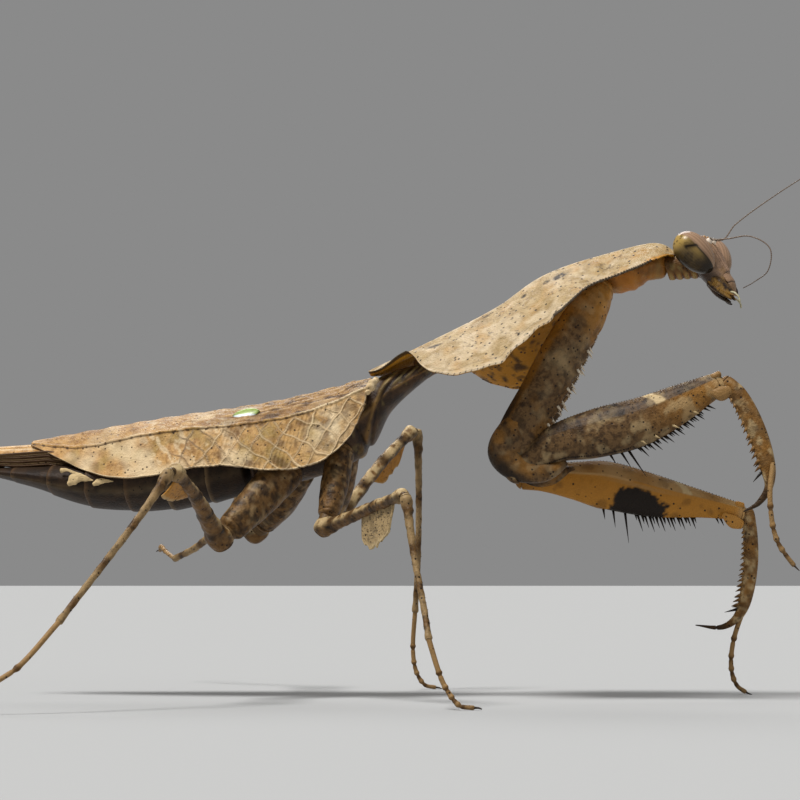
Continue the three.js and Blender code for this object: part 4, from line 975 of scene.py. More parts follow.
upper_lip = limb(on_head(0, (1.15, 1.3, 1.15), (-2.5, -3.4, -4.35)), [0.92, 0.85, 0.5], 0.42, rows=50,
                 sides=40, up=LEFT,
                 form=lambda t, a: 1 - 0.10 * crease(t, 0.50, 0.025) + 0.04 * crease(np.cos(a), 0, 0.2))
mouth, palps = [upper_lip], []
for way in (-1, 1):
    jaw = limb(on_head(way * np.array((1.2, 1.15, 0.85, 0.45)), (0.3, 0.6, 0.95, 1.2),
                       (-2.4, -3.2, -4.0, -4.6)),
               [0.40, 0.50, 0.42, 0.16], 0.75, rows=50, sides=32, up=FORWARD,
               form=lambda t, a: 1 + 0.05 * np.cos(3 * a) - 0.10 * crease(t, 0.22, 0.02)
               - 0.06 * crease(t, 0.7, 0.02))
    inner = limb(on_head(way * np.array((0.95, 0.95, 0.75, 0.5)), (-0.35, 0.0, 0.45, 0.8),
                         (-2.5, -3.3, -4.2, -4.95)),
                 [0.36, 0.38, 0.30, 0.10], 0.8, rows=44, sides=28, up=FORWARD,
                 form=lambda t, a: 1 - 0.14 * crease(t, 0.45, 0.02) - 0.10 * crease(t, 0.75, 0.02))
    mouth += [jaw, inner]
    back = 0.9 * (way > 0)
    for path in (on_head(way * np.array((0.95, 1.2, 1.3, 1.2)), np.array((1.2, 1.6, 1.8, 1.7)) - back,
                         (-4.4, -4.75, -5.3, -5.8)),
                 on_head(way * np.array((0.45, 0.65, 0.65, 0.5)),
                         np.array((0.3, 0.15, 0.35, 0.6)) - 0.3 * back, (-4.3, -4.7, -5.0, -5.2))):
        palps.append(pipe(limb(path, [0.07] * 4, rows=70, sides=16, up=LEFT,
                               form=lambda t, a: 1 + 0.30 * np.abs(np.sin(4 * np.pi * t)) ** 0.7
                               - 0.25 * (t > 0.97))))
mouth.append(limb(on_head(0, (-0.65, -0.35, 0.3), (-2.6, -3.8, -4.95)), [0.7, 0.6, 0.34], 0.5, rows=40,
                  sides=32, up=LEFT, form=lambda t, a: 1 - 0.10 * crease(t, 0.55, 0.03)))


def mouth_pigment(points, number):
    """Pinkish upper lip, golden jaws dark at their points and roots, dark under lip."""
    t = np.clip((-(points - HEAD) @ UPWARD - 2.4) / 2.6, 0, 1)
    if number == 0:
        return triple(0.3 + 0.4 * crease(t, 0.38, 0.04), 0.35, 0.75 * (1 - t))
    if number == 5:
        return triple(0.75 + 0.25 * t, 0.1, 0)
    turn = ring_places(mouth[number])[1]
    away = ease(-0.15, 0.55, np.sin(turn)) if number % 2 else ease(0.25, -0.45, np.sin(turn))
    streaks = 0.85 * away + 0.6 * patches(0.0, 0.5, points * (1, 1, 0.6), 0.35, 95)
    return triple(np.maximum(0.8 * ease(0.85, 1.0, t), streaks), 0.95,
                  0.35 * patches(0.2, 0.6, points, 0.3, 96))


build("mouth_horn", [pipe(rings) for rings in mouth], "face", "mouthparts", paint=FACE_HORN,
      pigment=mouth_pigment)
PALP_HORN = chitin(
    "palp horn", light=(0.50, 0.46, 0.30), shade=(0.40, 0.36, 0.22), dot=(0.2, 0.15, 0.1),
    dark=(0.03, 0.02, 0.01),
    ochre=(0.4, 0.3, 0.1), pale=(0.6, 0.55, 0.4), rough=0.4, blotch=2500, dots=3000, dot_size=0.03, bump=0.1)
build("mouth_palps", palps, "face", paint=PALP_HORN, pigment=lambda points, number: (number % 2, 0, 0))


# ---- Eyes ----
# Two large glossy ovals, fuller at the top: amber and golden-olive on the outer side, pinkish with fine
# lengthwise stripes in front of a dark line, and a short dark bar that looks like a pupil. The amber top
# is partly painted light, the lower rear painted shade over dark pigment, with a painted glint under the bar.
EYE_PAINT = chitin(
    "eye lens", light=(0.135, 0.088, 0.028), shade=(0.060, 0.040, 0.014), dot=(0.05, 0.03, 0.012),
    dark=(0.008, 0.005, 0.003), ochre=(0.46, 0.30, 0.075), pale=(0.36, 0.222, 0.14), rough=0.27, blotch=900,
    dots=3400, dot_size=0.10, bump=0.05, coat=0.07)
EYE_SIDES = 160
for side_name, way in SIDES:
    long = unit(-UPWARD + 0.25 * FORWARD - way * 0.5 * LEFT)
    outer = unit(way * LEFT - long * np.dot(way * LEFT, long))
    ahead = way * np.cross(long, outer)
    ahead *= np.sign(ahead @ FORWARD)
    a = np.linspace(0.03, np.pi - 0.03, 150)
    wide = 1.65 * np.sin(a) * (1 + 0.12 * np.cos(a))
    eyeball = oval(on_head(way * 2.65, 0, 0.35) + np.outer(-2.45 * np.cos(a), long), np.outer(wide, outer),
                   np.outer(wide, ahead), EYE_SIDES)

    def eye_pigment(points, number):
        """Places on the eye by a, 0 at the top end to pi, and turn, 0 outside and a quarter turn ahead."""
        down, round_ = grid(a, full_turn(EYE_SIDES))
        down, round_ = with_ends(down, 0, np.pi), with_ends(round_)
        line = 0.66 + 0.05 * np.sin(3 * down)
        stripes = 0.5 + 0.5 * np.cos(26 * (round_ - line))
        striped = ease(line - 0.02, line + 0.1, round_) * (round_ < 3.6)
        faint = 0.5 + 0.5 * np.cos(40 * round_ + 2 * lumps(points, 0.6, 97))
        pale = striped * (0.72 + 0.28 * stripes) + 0.10 * (1 - striped) * faint
        # Amber on the upper end: the eye's own amber, brightened as painted light from above.
        top = 1 - ease(0.6, 1.15, down)
        # A painted glint below the dark bar.
        painted_glint = 0.35 * (1 - striped) * crease(round_, 0.42, 0.22) * crease(down, 1.6, 0.4)
        amber = np.maximum(0.75 * top * (1 - striped), painted_glint)
        bar = crease(down, 1.285 + 0.54 * (round_ - 0.6), 0.105) * ease(0.02, 0.14, round_)
        bar = np.maximum(bar * (1 - ease(0.68, 0.74, round_)), bell(down, round_, (1.06, 0.12), (0.12, 0.14)))
        divide = crease(round_, line, 0.055) * ease(1.15, 1.3, down) * (1 - 0.3 * ease(2.2, 2.9, down))
        # The rear and the lower part: painted shade over the eye's own dark pigment.
        rear = crease(round_, 5.15, 0.85)
        shade = np.maximum(0.93 * ease(1.35, 2.35, down), 0.95 * rear * ease(0.7, 1.4, down)) * (1 - striped)
        spots = 0.6 * ease(0.9, 0.3, down - 0.4) * patches(0.05, 0.5, points, 0.3, 98) * (1 - striped)
        between = 0.13 * striped * (1 - stripes)
        # The lower tip darkens and the pale stripes fade towards the bottom: more painted shade.
        dark = np.maximum.reduce([bar, 0.9 * divide, shade, spots, between, 0.6 * ease(2.75, 3.05, down)])
        return triple(dark, amber, np.clip(pale, 0, 1) * (1 - 0.45 * ease(2.2, 3.0, down)))

    build(f"eye_{side_name}_lens", [pipe(eyeball)], "eye", f"eye_{side_name}", paint=EYE_PAINT,
          pigment=eye_pigment)


# ---- Antennae ----
# Two long threads of short horny joints, each on a thick whitish first joint and a small round second one.
ANTENNAE = {
    "left": [on_head(0.5, 1.25, 1.4), (32.4, 0.1, 45.4), (33.5, 0.1, 46.8), (37.4, 0, 49.6), (42, -0.1, 52.5),
             (47.8, 0, 56.5)],
    "right": [on_head(-0.5, 1.25, 1.4), (32.7, -1.5, 45.2), (35, -3.1, 45.2), (36.9, -4.5, 43.8),
              (36.7, -5, 41.6), (35.3, -4.8, 40.5), (34.3, -4.4, 40)],
}
ANTENNA_HORN = chitin(
    "antenna horn", light=(0.23, 0.165, 0.12), shade=(0.16, 0.11, 0.08), dot=(0.02, 0.012, 0.01),
    dark=(0.02, 0.012, 0.01), ochre=(0.35, 0.2, 0.08), pale=(0.72, 0.62, 0.5), rough=0.45, blotch=1500,
    dots=2400, dot_size=0.08, bump=0.1)
ANTENNA_JOINTS = 62


def thread_form(t, a):
    """A bead at each joint, and a thicker root."""
    beads = 0.13 * np.cos(2 * np.pi * ANTENNA_JOINTS * t)
    return 1 + beads - 0.1 * ease(0.0, 0.02, t) + 0.5 * crease(t, 0.0, 0.012)


for side_name, path in ANTENNAE.items():
    way = 1 if side_name == "left" else -1
    root = on_head(way * np.array((0.45, 0.47, 0.5)), (0.85, 1.15, 1.45), (1.2, 1.3, 1.42))
    first = limb(root, [0.36, 0.34, 0.24], rows=30, sides=24, up=UPWARD,
                 form=lambda t, a: 1 + 0.08 * crease(t, 0.6, 0.2))
    thread = limb(path, np.linspace(0.085, 0.045, len(path)), rows=620, sides=8, up=(0, 1, 0.2),
                  form=thread_form)

    def antenna_pigment(points, number):
        """White first joint with a dark ring; the thread brown, paler towards the root."""
        along, _ = ring_places(first if number == 0 else thread)
        if number == 0:
            return triple(0.85 * ease(0.80, 0.95, along), 0, 0.95)
        return triple(0.35 + 0.3 * along, 0.15, 0.12 * (1 - along))

    build(f"antenna_{side_name}_thread", [pipe(first), pipe(thread)], "leg", f"antenna_{side_name}",
          paint=ANTENNA_HORN, pigment=antenna_pigment)


# ---- Fore legs ----
# The two grasping legs hang from the front of the body tube: a three-edged coxa, a deep flat femur and a
# saw-toothed tibia that ends in a hooked claw, with the thin foot jointed to its side. All are mottled horny
# chitin, and the inner face of the femur is ochre with a black patch.
FORE = {
    "right": {
        "coxa": ([(20.5, -2.2, 40.4), (19.6, -2.9, 38.9), (17.4, -4, 35.2), (14.6, -4.7, 29.9),
                  (12.2, -5, 25.5), (11.4, -5, 23.6)], [1.3, 1.75, 2, 2, 1.95, 1.3]),
        "femur": ([(11.9, -5, 22.2), (13.5, -5, 23.4), (16.4, -5, 25), (20.4, -5, 25.9), (24.3, -5, 26.9),
                   (28.2, -4.9, 28.7), (31.7, -4.7, 30.6)], [1.3, 1.35, 1.9, 2.45, 2.4, 1.9, 1.15]),
        "tibia": ([(32.4, -4.6, 30.8), (33.8, -4.7, 29.5), (35.4, -4.9, 26.3), (36.5, -5, 22.7),
                   (36.6, -5, 20.7),
                   (35.6, -5, 19.1), (34.2, -5, 18.3)], [0.7, 0.85, 0.9, 0.75, 0.42, 0.27, 0.06]),
        "knee": ((32.6, -5.2, 29.8), (31.8, -4.9, 31.55)),
        "row": (0.45, 0.50, 0.535), "row length": (1.1, 1.8, 3.0), "row size": 1.25,
        "outer": (0.60, 0.655, 0.74, 0.85),
        "tarsus": [(37, -5.5, 22.8), (36.7, -6.1, 20), (36.9, -6.1, 17.1), (37.4, -6.1, 15.3),
                   (38.2, -6.1, 14), (38.9, -6.1, 13.1)],
    },
    "left": {
        "coxa": ([(20.2, 2.2, 40.4), (19.1, 2.9, 38.9), (16.6, 4, 35), (13.8, 4.6, 29.6), (11.7, 4.9, 25.2),
                  (11.2, 4.9, 23.4)], [1.3, 1.75, 2, 2, 1.95, 1.3]),
        "femur": ([(11.9, 4.9, 22.1), (13.9, 5.2, 22), (16.9, 5.6, 21.7), (20.1, 6.5, 21.2),
                   (24.9, 7.5, 20.1),
                   (29.8, 8.7, 19.3), (33.6, 9.8, 18.6)], [1.3, 1.4, 1.9, 2.45, 2.2, 1.4, 0.85]),
        "tibia": ([(34.3, 9.9, 18.6), (34.6, 10.3, 16.5), (34.6, 10.6, 13.2), (34, 11, 9.6),
                   (33.1, 11.3, 7.8),
                   (31.5, 11.5, 6.9), (29, 11.5, 7.1)], [0.6, 0.7, 0.72, 0.62, 0.42, 0.27, 0.06]),
        "knee": ((33.4, 9.6, 17.4), (33.7, 9.7, 19.3)),
        "row": (0.385, 0.43, 0.485), "row length": (1.0, 1.7, 3.0), "row size": 1.7,
        "outer": (0.56, 0.62, 0.69, 0.77),
        "tarsus": [(34.1, 11.4, 9.5), (32.9, 12.1, 6.1), (32.5, 12.3, 3.8), (32.6, 12.4, 2.1),
                   (33.1, 12.6, 0.9), (33.9, 12.7, 0.3)],
    },
}
DOWN_EDGE, TOP_EDGE = 1.5 * np.pi, 0.5 * np.pi  # the turns of a limb's lower and upper edges
TARSUS_JOINTS = (0.42, 0.60, 0.73, 0.84)  # how far along a foot its joints are


# The knob of each elbow, from the rear of the coxa round under the femur: x, z and half-depth.
ELBOW = [(12.9, 27.8, 0.95), (11.9, 25.8, 1.38), (11.15, 24.2, 1.38), (11.8, 23, 1.15), (13.4, 22.3, 0.92),
         (15.2, 22.3, 0.72), (17.0, 23.0, 0.25)]


def coxa_form(t, a):
    """A rounded triangle: flat outside and inside, keeled in front and behind, its front keel scalloped."""
    keel = crease(np.cos(a), 0, 0.30)
    front = np.sin(a) < 0
    scallop = np.abs(np.sin(t * 31)) * front * keel * 0.10
    return 0.93 + 0.13 * keel + scallop - 0.04 * crease(np.sin(a), 0.35, 0.12)


def femur_form(t, a):
    """Flat-sided, sharp along the top, grooved below between two rows of spines, with a lobe each side of
    the knee."""
    top = crease(a, TOP_EDGE, 0.22)
    groove = crease(a, DOWN_EDGE, 0.20) * ease(0.35, 0.45, t)
    line = crease(np.sin(a), 0.45, 0.07)
    knee = 0.22 * crease(t, 0.985, 0.035) * crease(np.sin(a), -0.35, 0.5)
    return 0.97 + 0.06 * top - 0.10 * groove + 0.035 * line + knee


def tibia_form(t, a):
    """Round behind and drawn out to a thin edge in front, where the teeth stand; thick at the knee."""
    return 1 + 0.10 * crease(a, DOWN_EDGE, 0.35) * (1 - ease(0.7, 0.8, t)) + 0.16 * crease(t, 0.02, 0.05)


def tarsus_form(t, a):
    """Five joints, each swollen at its far end."""
    pads = 0.0
    for joint in TARSUS_JOINTS:
        pads = pads + 0.30 * crease(t, joint - 0.02, 0.02) - 0.22 * crease(t, joint + 0.015, 0.012)
    return 1 + pads + 0.10 * crease(t, 0.98, 0.03)


def foot(path, radius):
    """A five-jointed foot with two small hooked claws at its end."""
    n = len(path)
    rings = limb(path, np.linspace(radius, radius * 0.8, n), rows=120, sides=16, form=tarsus_form,
                 up=(0.3, 1, 0.1))
    end = np.array(path[-1], float)
    way = unit(end - np.array(path[-2], float))
    side = unit(np.cross(way, (0, 0, 1.0)))
    flat = way * (1, 1, 0)
    flat /= max(np.linalg.norm(flat), 0.3)
    claws = []
    for k in (-1, 1):
        hook = np.array([end, end + way * 0.45 + side * k * 0.25 + (0, 0, 0.06),
                         end + way * 0.65 + flat * 0.12 + side * k * 0.42 - (0, 0, 0.02)])
        hook[:, 2] = np.maximum(hook[:, 2], (0.2, 0.12, 0.06))
        claws.append(pipe(limb(hook, [0.12, 0.08, 0.03], rows=14, sides=8, up=(0.2, 0.1, 1))))
    return rings, claws


def rings_at(along, places, width):
    """1 on rings round a limb at these places along it, and 0 away from them."""
    return np.maximum.reduce([crease(along, place, width) for place in places])


LEG_BARK = chitin("leg bark", light=(0.140, 0.078, 0.030), shade=(0.064, 0.033, 0.012),
                  dot=(0.018, 0.010, 0.006),
                  dark=(0.012, 0.007, 0.004), ochre=(0.44, 0.19, 0.022), pale=(0.50, 0.365, 0.185), rough=0.5,
                  blotch=1900, dots=1500, dot_size=0.19, bump=0.5, coat=0.04)
SPINE_BONE = chitin(
    "bone spine", light=(0.74, 0.66, 0.52), shade=(0.66, 0.56, 0.42), dot=(0.5, 0.4, 0.3),
    dark=(0.1, 0.06, 0.03), ochre=(0.5, 0.3, 0.1), pale=(0.8, 0.75, 0.65), rough=0.35, blotch=2500,
    dots=3000, dot_size=0.03, bump=0.1, coat=0.2)

for side_name, leg in FORE.items():
    inner = 0.0 if side_name == "left" else np.pi  # the turn of the femur's inner face
    outer = np.pi - inner

    coxa_path, coxa_half = leg["coxa"]
    coxa = limb(coxa_path, coxa_half, 0.68, rows=150, sides=56, form=coxa_form)
    shells = [pipe(coxa)]
    big = np.array((0.30, 0.41, 0.52, 0.62, 0.72))
    spines = teeth(coxa, big, DOWN_EDGE + 0.12, 0.72, 0.19, lean=0.5)
    spines += teeth(coxa, big + 0.03, DOWN_EDGE - 0.2, 0.62, 0.18, lean=0.5)
    build(f"fore_coxa_{side_name}_spines", spines, "leg", paint=SPINE_BONE)
    chance = np.random.default_rng(11)
    small = np.linspace(0.2, 0.9, 44)
    shells += teeth(coxa, small, DOWN_EDGE + 0.05, 0.10 + 0.06 * np.sin(small * 40), 0.09, lean=0.1,
                    sink=0.06)
    t = chance.uniform(0.12, 0.95, 70)
    shells += teeth(coxa, t, chance.uniform(0, 2 * np.pi, 70), 0.07, 0.07, lean=0.2, sink=0.04)
    elbow_at = len(shells)
    y = leg["femur"][0][0][1]
    drop = 0.0 if side_name == "right" else -0.1
    shells.append(pipe(limb([(x, y, z + drop) for x, z, _ in ELBOW], [half for _, _, half in ELBOW], 1.3,
                            rows=110, sides=48, up=(0, 1, 0))))

    def coxa_pigment(points, number):
        """Brown with ochre blotches, orange above in front, a red-brown rear edge, dark at the elbow."""
        if number == elbow_at:
            out_side = 1 - ease(33.6, 35.6, points[:, 0] + points[:, 2])
            return triple(np.maximum(0.9 * out_side, 0.45 * patches(0, 0.6, points, 0.6, 45)),
                          0.35 * patches(-0.2, 0.5, points, 1.2, 46),
                          0.25 * patches(0.1, 0.6, points, 0.8, 47))
        if number:
            return 0.4, 0.2, 0.35 * (chance.random() < 0.5)
        along, turn = ring_places(coxa)
        behind = ease(0.72, 0.93, np.sin(turn)) * ease(0.15, 0.3, along)
        patch = patches(0.1, 0.45, points, 1.4, 41) * 0.45
        upper = 1 - ease(0.12, 0.38, along)
        ahead = ease(0.2, -0.6, np.sin(turn))
        dark = np.maximum.reduce([
            (0.45 + 0.5 * ease(0.45, 0.8, along)) * behind,
            0.8 * ease(0.80, 1.0, along) * ease(-0.5, 0.6, np.sin(turn) + 0.3),
            0.55 * patches(0.05, 0.6, points, 0.7, 42) * (1 - 0.5 * upper)])
        cream = 0.55 * crease(along, 0.45, 0.05) * patches(-0.2, 0.4, points, 1.5, 43)
        ochre = (0.35 * patch + 0.75 * upper * (0.5 + 0.5 * ahead)
                 + 0.9 * behind * (1 - 0.6 * ease(0.5, 0.9, along)))
        return triple(dark, ochre, np.maximum(0.7 * cream, 0.20 * patches(0.15, 0.6, points, 0.9, 44)))

    build(f"fore_coxa_{side_name}_horn", shells, "leg", f"fore_coxa_{side_name}", paint=LEG_BARK,
          pigment=coxa_pigment)

    femur_path, femur_half = leg["femur"]
    femur = limb(femur_path, femur_half, 0.60, rows=220, sides=72, form=femur_form)
    shells = [pipe(femur)]
    # Outside a row of four pale spines; inside it a close row of short black ones, then three long ones.
    side = 0.26 if side_name == "right" else -0.26  # the rows stand either side of the groove
    shells += teeth(femur, leg["outer"], DOWN_EDGE + side * 2.6, (0.45, 0.5, 0.55, 0.4), 0.16, lean=0.9)
    outer_count = len(shells)
    row = np.linspace(leg["outer"][0] - 0.02, leg["outer"][-1] + 0.02, 17)
    uneven = leg["row size"] * np.resize((0.85, 0.45, 0.65), 17) * np.linspace(1.1, 0.75, 17)
    shells += teeth(femur, row, DOWN_EDGE - side * 0.4, uneven, 0.15, lean=0.6)
    shells += teeth(femur, row[::2] - 0.006, DOWN_EDGE + side * 1.1, 0.50, 0.13, lean=0.6)
    shells += teeth(femur, leg["row"], DOWN_EDGE, leg["row length"], 0.15, lean=0.38)
    shells += teeth(femur, (0.895, 0.915), DOWN_EDGE + side, (0.5, 0.65), 0.14, lean=0.9)
    black_count = len(shells)
    beads = np.linspace(0.10, 0.56, 46)
    shells += teeth(femur, beads, DOWN_EDGE + side * 1.9, 0.12, 0.10, lean=0.1, sink=0.05)
    t = chance.uniform(0.12, 0.95, 150)
    shells += teeth(femur, t, outer + chance.uniform(-1.2, 1.2, 150), 0.05, 0.085, lean=0.1, sink=0.05)
    top_teeth = np.linspace(0.12, 0.96, 60)
    shells += teeth(femur, top_teeth, TOP_EDGE, 0.08, 0.09, lean=0.1, sink=0.05)
    bead_count = len(shells)
    low_lobe, high_knob = np.array(leg["knee"])
    along_femur = unit(np.array(femur_path[-1], float) - np.array(femur_path[-2], float))
    for off in (-0.75, 0.75):
        middle = low_lobe + np.array((0, off, 0))
        shells.append(pipe(limb([middle - along_femur * 1.5 + (0, 0, 0.6),
                                 middle - along_femur * 0.6 + (0, 0, 0.15),
                                 middle + along_femur * 0.2], [0.3, 0.66, 0.5], 0.42, rows=40, sides=24)))
    shells.append(pipe(limb([high_knob - along_femur * 0.5, high_knob + along_femur * 0.1], [0.36, 0.32], 1.1,
                            rows=16, sides=20)))

    def femur_pigment(points, number):
        """Outside mottled brown, darker above the ridge line with one cream patch on top; inside ochre with
        a black patch over the long spines and a bluish-grey line above it."""
        if number:
            if number < outer_count:
                return 0.05, 0.1, 1.0
            if number < bead_count:
                return 1.0 if number < black_count else 0.9, 0.0, 0.0
            return (0.25, 0.55, 0.25) if side_name == "right" else (0.0, 0.95, 0.1)
        along, turn = ring_places(femur)
        inside = ease(-0.15, 0.15, np.cos(turn - inner))
        above = ease(0.40, 0.5, np.sin(turn))
        band = np.maximum(rings_at(along, (0.30, 0.84), 0.05), crease(along, 0.52, 0.07))
        cream = ease(0.5, 0.8, crease(along, 0.705 + 0.02 * np.sin(turn * 3), 0.035)) * above
        dark = 0.60 * above * (0.45 + 0.55 * band) * (1 - cream) + 0.38 * patches(0.1, 0.6, points, 0.5, 51)
        under = 0.35 * ease(-0.6, -0.9, np.sin(turn))
        tall = np.where(np.sin(turn) > -0.45, (np.sin(turn) + 0.45) / 0.68, 0.0)
        patch = 1 - ((along - 0.525) / 0.125) ** 2 - tall**2
        patch = patch + 0.35 * lumps(points, 0.8, 52) + 0.2 * lumps(points, 0.25, 53)
        black = ease(0.0, 0.30, patch) * inside
        blue = inside * crease(np.sin(turn), 0.30, 0.05) * crease(along, 0.52, 0.13)
        dark = np.maximum(black, dark * (1 - 0.85 * inside) + under * (1 - inside))
        dark = np.maximum(dark, 0.35 * inside * patches(0.2, 0.6, points, 1.2, 56))
        dark = np.maximum(dark, 0.5 * inside * crease(along, 0.0, 0.10))
        ochre = np.maximum(0.92 * inside * (1 - 0.3 * above),
                           0.45 * ease(0.55, 0.9, along) * (1 - above) * (1 - inside))
        line = inside * crease(np.sin(turn), 0.42, 0.05) * (1 - ease(0.45, 0.5, along))
        pale = np.maximum.reduce([cream, 0.45 * inside * above * (1 - 0.6 * band),
                                  0.55 * crease(along, 0.985, 0.03),
                                  0.42 * (1 - inside) * patches(0.0, 0.5, points, 0.9, 54), 0.5 * blue,
                                  0.55 * line])
        return triple(np.maximum(dark, 0.35 * blue), ochre, pale)

    build(f"fore_femur_{side_name}_horn", shells, "leg", f"fore_femur_{side_name}", paint=LEG_BARK,
          pigment=femur_pigment)

    tibia_path, tibia_half = leg["tibia"]
    tibia = limb(tibia_path, tibia_half, 0.72, rows=150, sides=40, form=tibia_form, up=(1, 0, 0),
                 ends=(0.7, 1.5))
    shells = [pipe(tibia)]
    count = 12 if side_name == "right" else 15
    at = np.linspace(0.12, 0.62, count)
    grow = np.linspace(0, 1, count)
    shells += teeth(tibia, at, DOWN_EDGE + 0.25, 0.26 + 0.36 * grow, 0.18 + 0.05 * grow, lean=0.75)
    shells += teeth(tibia, at[::2] + 0.015, DOWN_EDGE - 0.35, 0.22 + 0.28 * grow[::2], 0.16, lean=0.7)
    tooth_count = len(shells)
    shells += teeth(tibia, (0.655,), DOWN_EDGE + 0.1, (0.95,), 0.18, lean=0.9)

    def tibia_pigment(points, number):
        """Mottled in three soft bands; the teeth pale at the root and dark at the point; the claw dark
        red-brown, black at its point."""
        if number:
            to_point = ease(0.02, 0.4, np.linalg.norm(points - points[:5].mean(0), axis=1))
            dark = 0.85 * to_point * (0.4 + 0.6 * number / len(shells))
            return triple(np.maximum(dark, number >= tooth_count), 0.5, 0.45 * (1 - to_point))
        along, turn = ring_places(tibia)
        bands = np.maximum(rings_at(along, (0.17, 0.40), 0.05), crease(along, 0.60, 0.04))
        claw = ease(0.70, 0.78, along)
        dark = np.maximum.reduce([0.45 * bands * (0.6 + 0.5 * lumps(points, 0.6, 61)),
                                  claw * (0.75 + 0.25 * ease(0.85, 1, along)),
                                  0.5 * patches(0.25, 0.55, points, 0.35, 64)])
        pale = 0.65 * patches(-0.2, 0.5, points, 0.6, 63) * (1 - claw)
        return triple(dark, 0.22 + 0.25 * lumps(points, 0.9, 62), pale)

    build(f"fore_tibia_{side_name}_horn", shells, "leg", f"fore_tibia_{side_name}", paint=LEG_BARK,
          pigment=tibia_pigment)

    rings, claws = foot(leg["tarsus"], 0.26)

    def tarsus_pigment(points, number):
        """Brown with a darker ring at each joint; dark claws."""
        if number:
            return 0.9, 0.0, 0.0
        along, _ = ring_places(rings)
        joint = rings_at(along, TARSUS_JOINTS, 0.025)
        return triple(0.55 * joint + 0.25 * ease(0.5, 1, along), 0.3, 0.25 * (1 - joint))

    build(f"fore_tarsus_{side_name}_foot", [pipe(rings)] + claws, "leg", f"fore_tarsus_{side_name}",
          paint=LEG_BARK, pigment=tarsus_pigment)


# ---- Middle and hind legs ----
# Four thin walking legs of the same skin: a stout coxa, a femur with a leaf-like lobe near its knee, a
# straight banded tibia, and a five-jointed foot that stands on its last joints.
WALKING = {
    "mid_right": {
        "coxa": ([(-5.6, -2.6, 24.3), (-6, -4, 20.9), (-6.3, -5.3, 18.4)], [1.4, 1.4, 1.1]),
        "femur": ([(-6.8, -5.9, 16.8), (-4.9, -8, 17.3), (-0.7, -13.6, 18.6), (3, -19.7, 19.5)],
                  [0.94, 0.7, 0.6, 0.54]),
        "tibia": ([(3.4, -20.4, 19.3), (4.4, -22.2, 14), (5.7, -24.4, 8.6), (6.2, -25.6, 6.4)],
                  [0.48, 0.34, 0.31, 0.3]),
        "tarsus": [(6.2, -25.6, 6.35), (7.3, -25.9, 3), (8.1, -26.1, 1.5), (9.1, -26.2, 0.4),
                   (10.3, -26.1, 0.22)],
        "lobe": (0.44, 0.86, [(0, 3.3), (0.12, 3.7), (0.35, 3.9), (0.7, 3.6), (0.88, 3.1), (1, 2.2)], 0.18,
                 -0.10),
    },
    "mid_left": {
        "coxa": ([(-5.9, 2.6, 24.3), (-6.7, 3.9, 21.2), (-7.4, 5.3, 19)], [1.4, 1.4, 1.1]),
        "femur": ([(-7.9, 5.7, 17.6), (-6.7, 7.3, 19), (-3.8, 13.2, 24), (-1.4, 18.7, 27.6)],
                  [0.94, 0.75, 0.68, 0.58]),
        "tibia": ([(-0.9, 19.6, 27.6), (-0.8, 20.1, 22), (-1, 20.9, 14), (-1.4, 21.6, 8.4)],
                  [0.48, 0.37, 0.33, 0.31]),
        "tarsus": [(-1.4, 21.6, 8.35), (-1.7, 22.1, 4.4), (-1.4, 22.3, 2), (-0.5, 22.6, 0.5),
                   (0.6, 22.8, 0.22)],
        "lobe": (0.48, 0.9, [(0, 1.0), (0.3, 2.0), (0.7, 2.2), (1, 1.4)], 1.0, -0.1),
    },
    "hind_right": {
        "coxa": ([(-11.3, -2.9, 22.6), (-13.4, -4.9, 19.8), (-15.6, -7.2, 17)], [2.1, 1.9, 1.5]),
        "femur": ([(-16.6, -8.2, 15.6), (-16.9, -10.3, 16.7), (-17.2, -17, 19.6), (-17.6, -24, 21.7)],
                  [1.25, 1.05, 0.72, 0.64]),
        "tibia": ([(-18, -24.9, 21.5), (-19.7, -28.5, 17.6), (-25.1, -36.6, 8)], [0.48, 0.37, 0.31]),
        "tarsus": [(-25.1, -36.7, 7.95), (-27.9, -39.1, 4.2), (-29.9, -40.6, 2.6), (-31.5, -41.9, 1),
                   (-32.8, -42.8, 0.3), (-33.9, -43.5, 0.22)],
        "lobe": (0.58, 0.97, [(0, 0.3), (0.35, 1.2), (0.7, 2.0), (1, 2.6)], 0.9, -1.3),
    },
    "hind_left": {
        "coxa": ([(-11, 2.7, 22.7), (-13, 4.4, 19.8), (-14.8, 5.8, 17.9)], [2, 1.9, 1.5]),
        "femur": ([(-15.9, 6.6, 16.7), (-16.9, 8.7, 17.2), (-18.5, 14.7, 19.6), (-19.5, 20.8, 21.4)],
                  [1.25, 1.05, 0.8, 0.68]),
        "tibia": ([(-20.3, 21.9, 21.1), (-22.9, 24.6, 18.3), (-26.8, 29.1, 15.6), (-30.3, 32.7, 14.2)],
                  [0.55, 0.45, 0.42, 0.36]),
        "tarsus": [(-30.4, 32.8, 14.2), (-31.9, 35, 15), (-32.9, 37.1, 15.6), (-33.5, 39.1, 15.2)],
        "lobe": (0.58, 0.97, [(0, 0.3), (0.35, 1.2), (0.7, 2.0), (1, 2.6)], 0.9, -1.3),
    },
}


def knee_form(t, a):
    """A walking femur: a slim middle, a swelling at the knee with a lobe each side, low ridges lengthwise."""
    rough = 0.035 * np.sin(47 * t + 2 * a) + 0.03 * np.sin(83 * t - 3 * a) + 0.03 * np.sin(29 * t + a)
    return 0.92 + 0.42 * crease(t, 0.975, 0.05) + 0.05 * np.cos(4 * a) + 0.16 * crease(t, 0.03, 0.06) + rough


def shin_form(t, a):
    """A walking tibia: thick at the knee, then even, with a slight bend of low bumps, wider at its end."""
    rough = 0.04 * np.sin(61 * t + 2 * a) + 0.03 * np.sin(97 * t - a)
    bump = 0.30 * crease(t, 0.10, 0.02) * (np.sin(a) > 0)
    return (0.95 + 0.32 * crease(t, 0.03, 0.04) + bump + 0.05 * np.cos(3 * a) + 0.18 * crease(t, 0.99, 0.03)
            + rough)


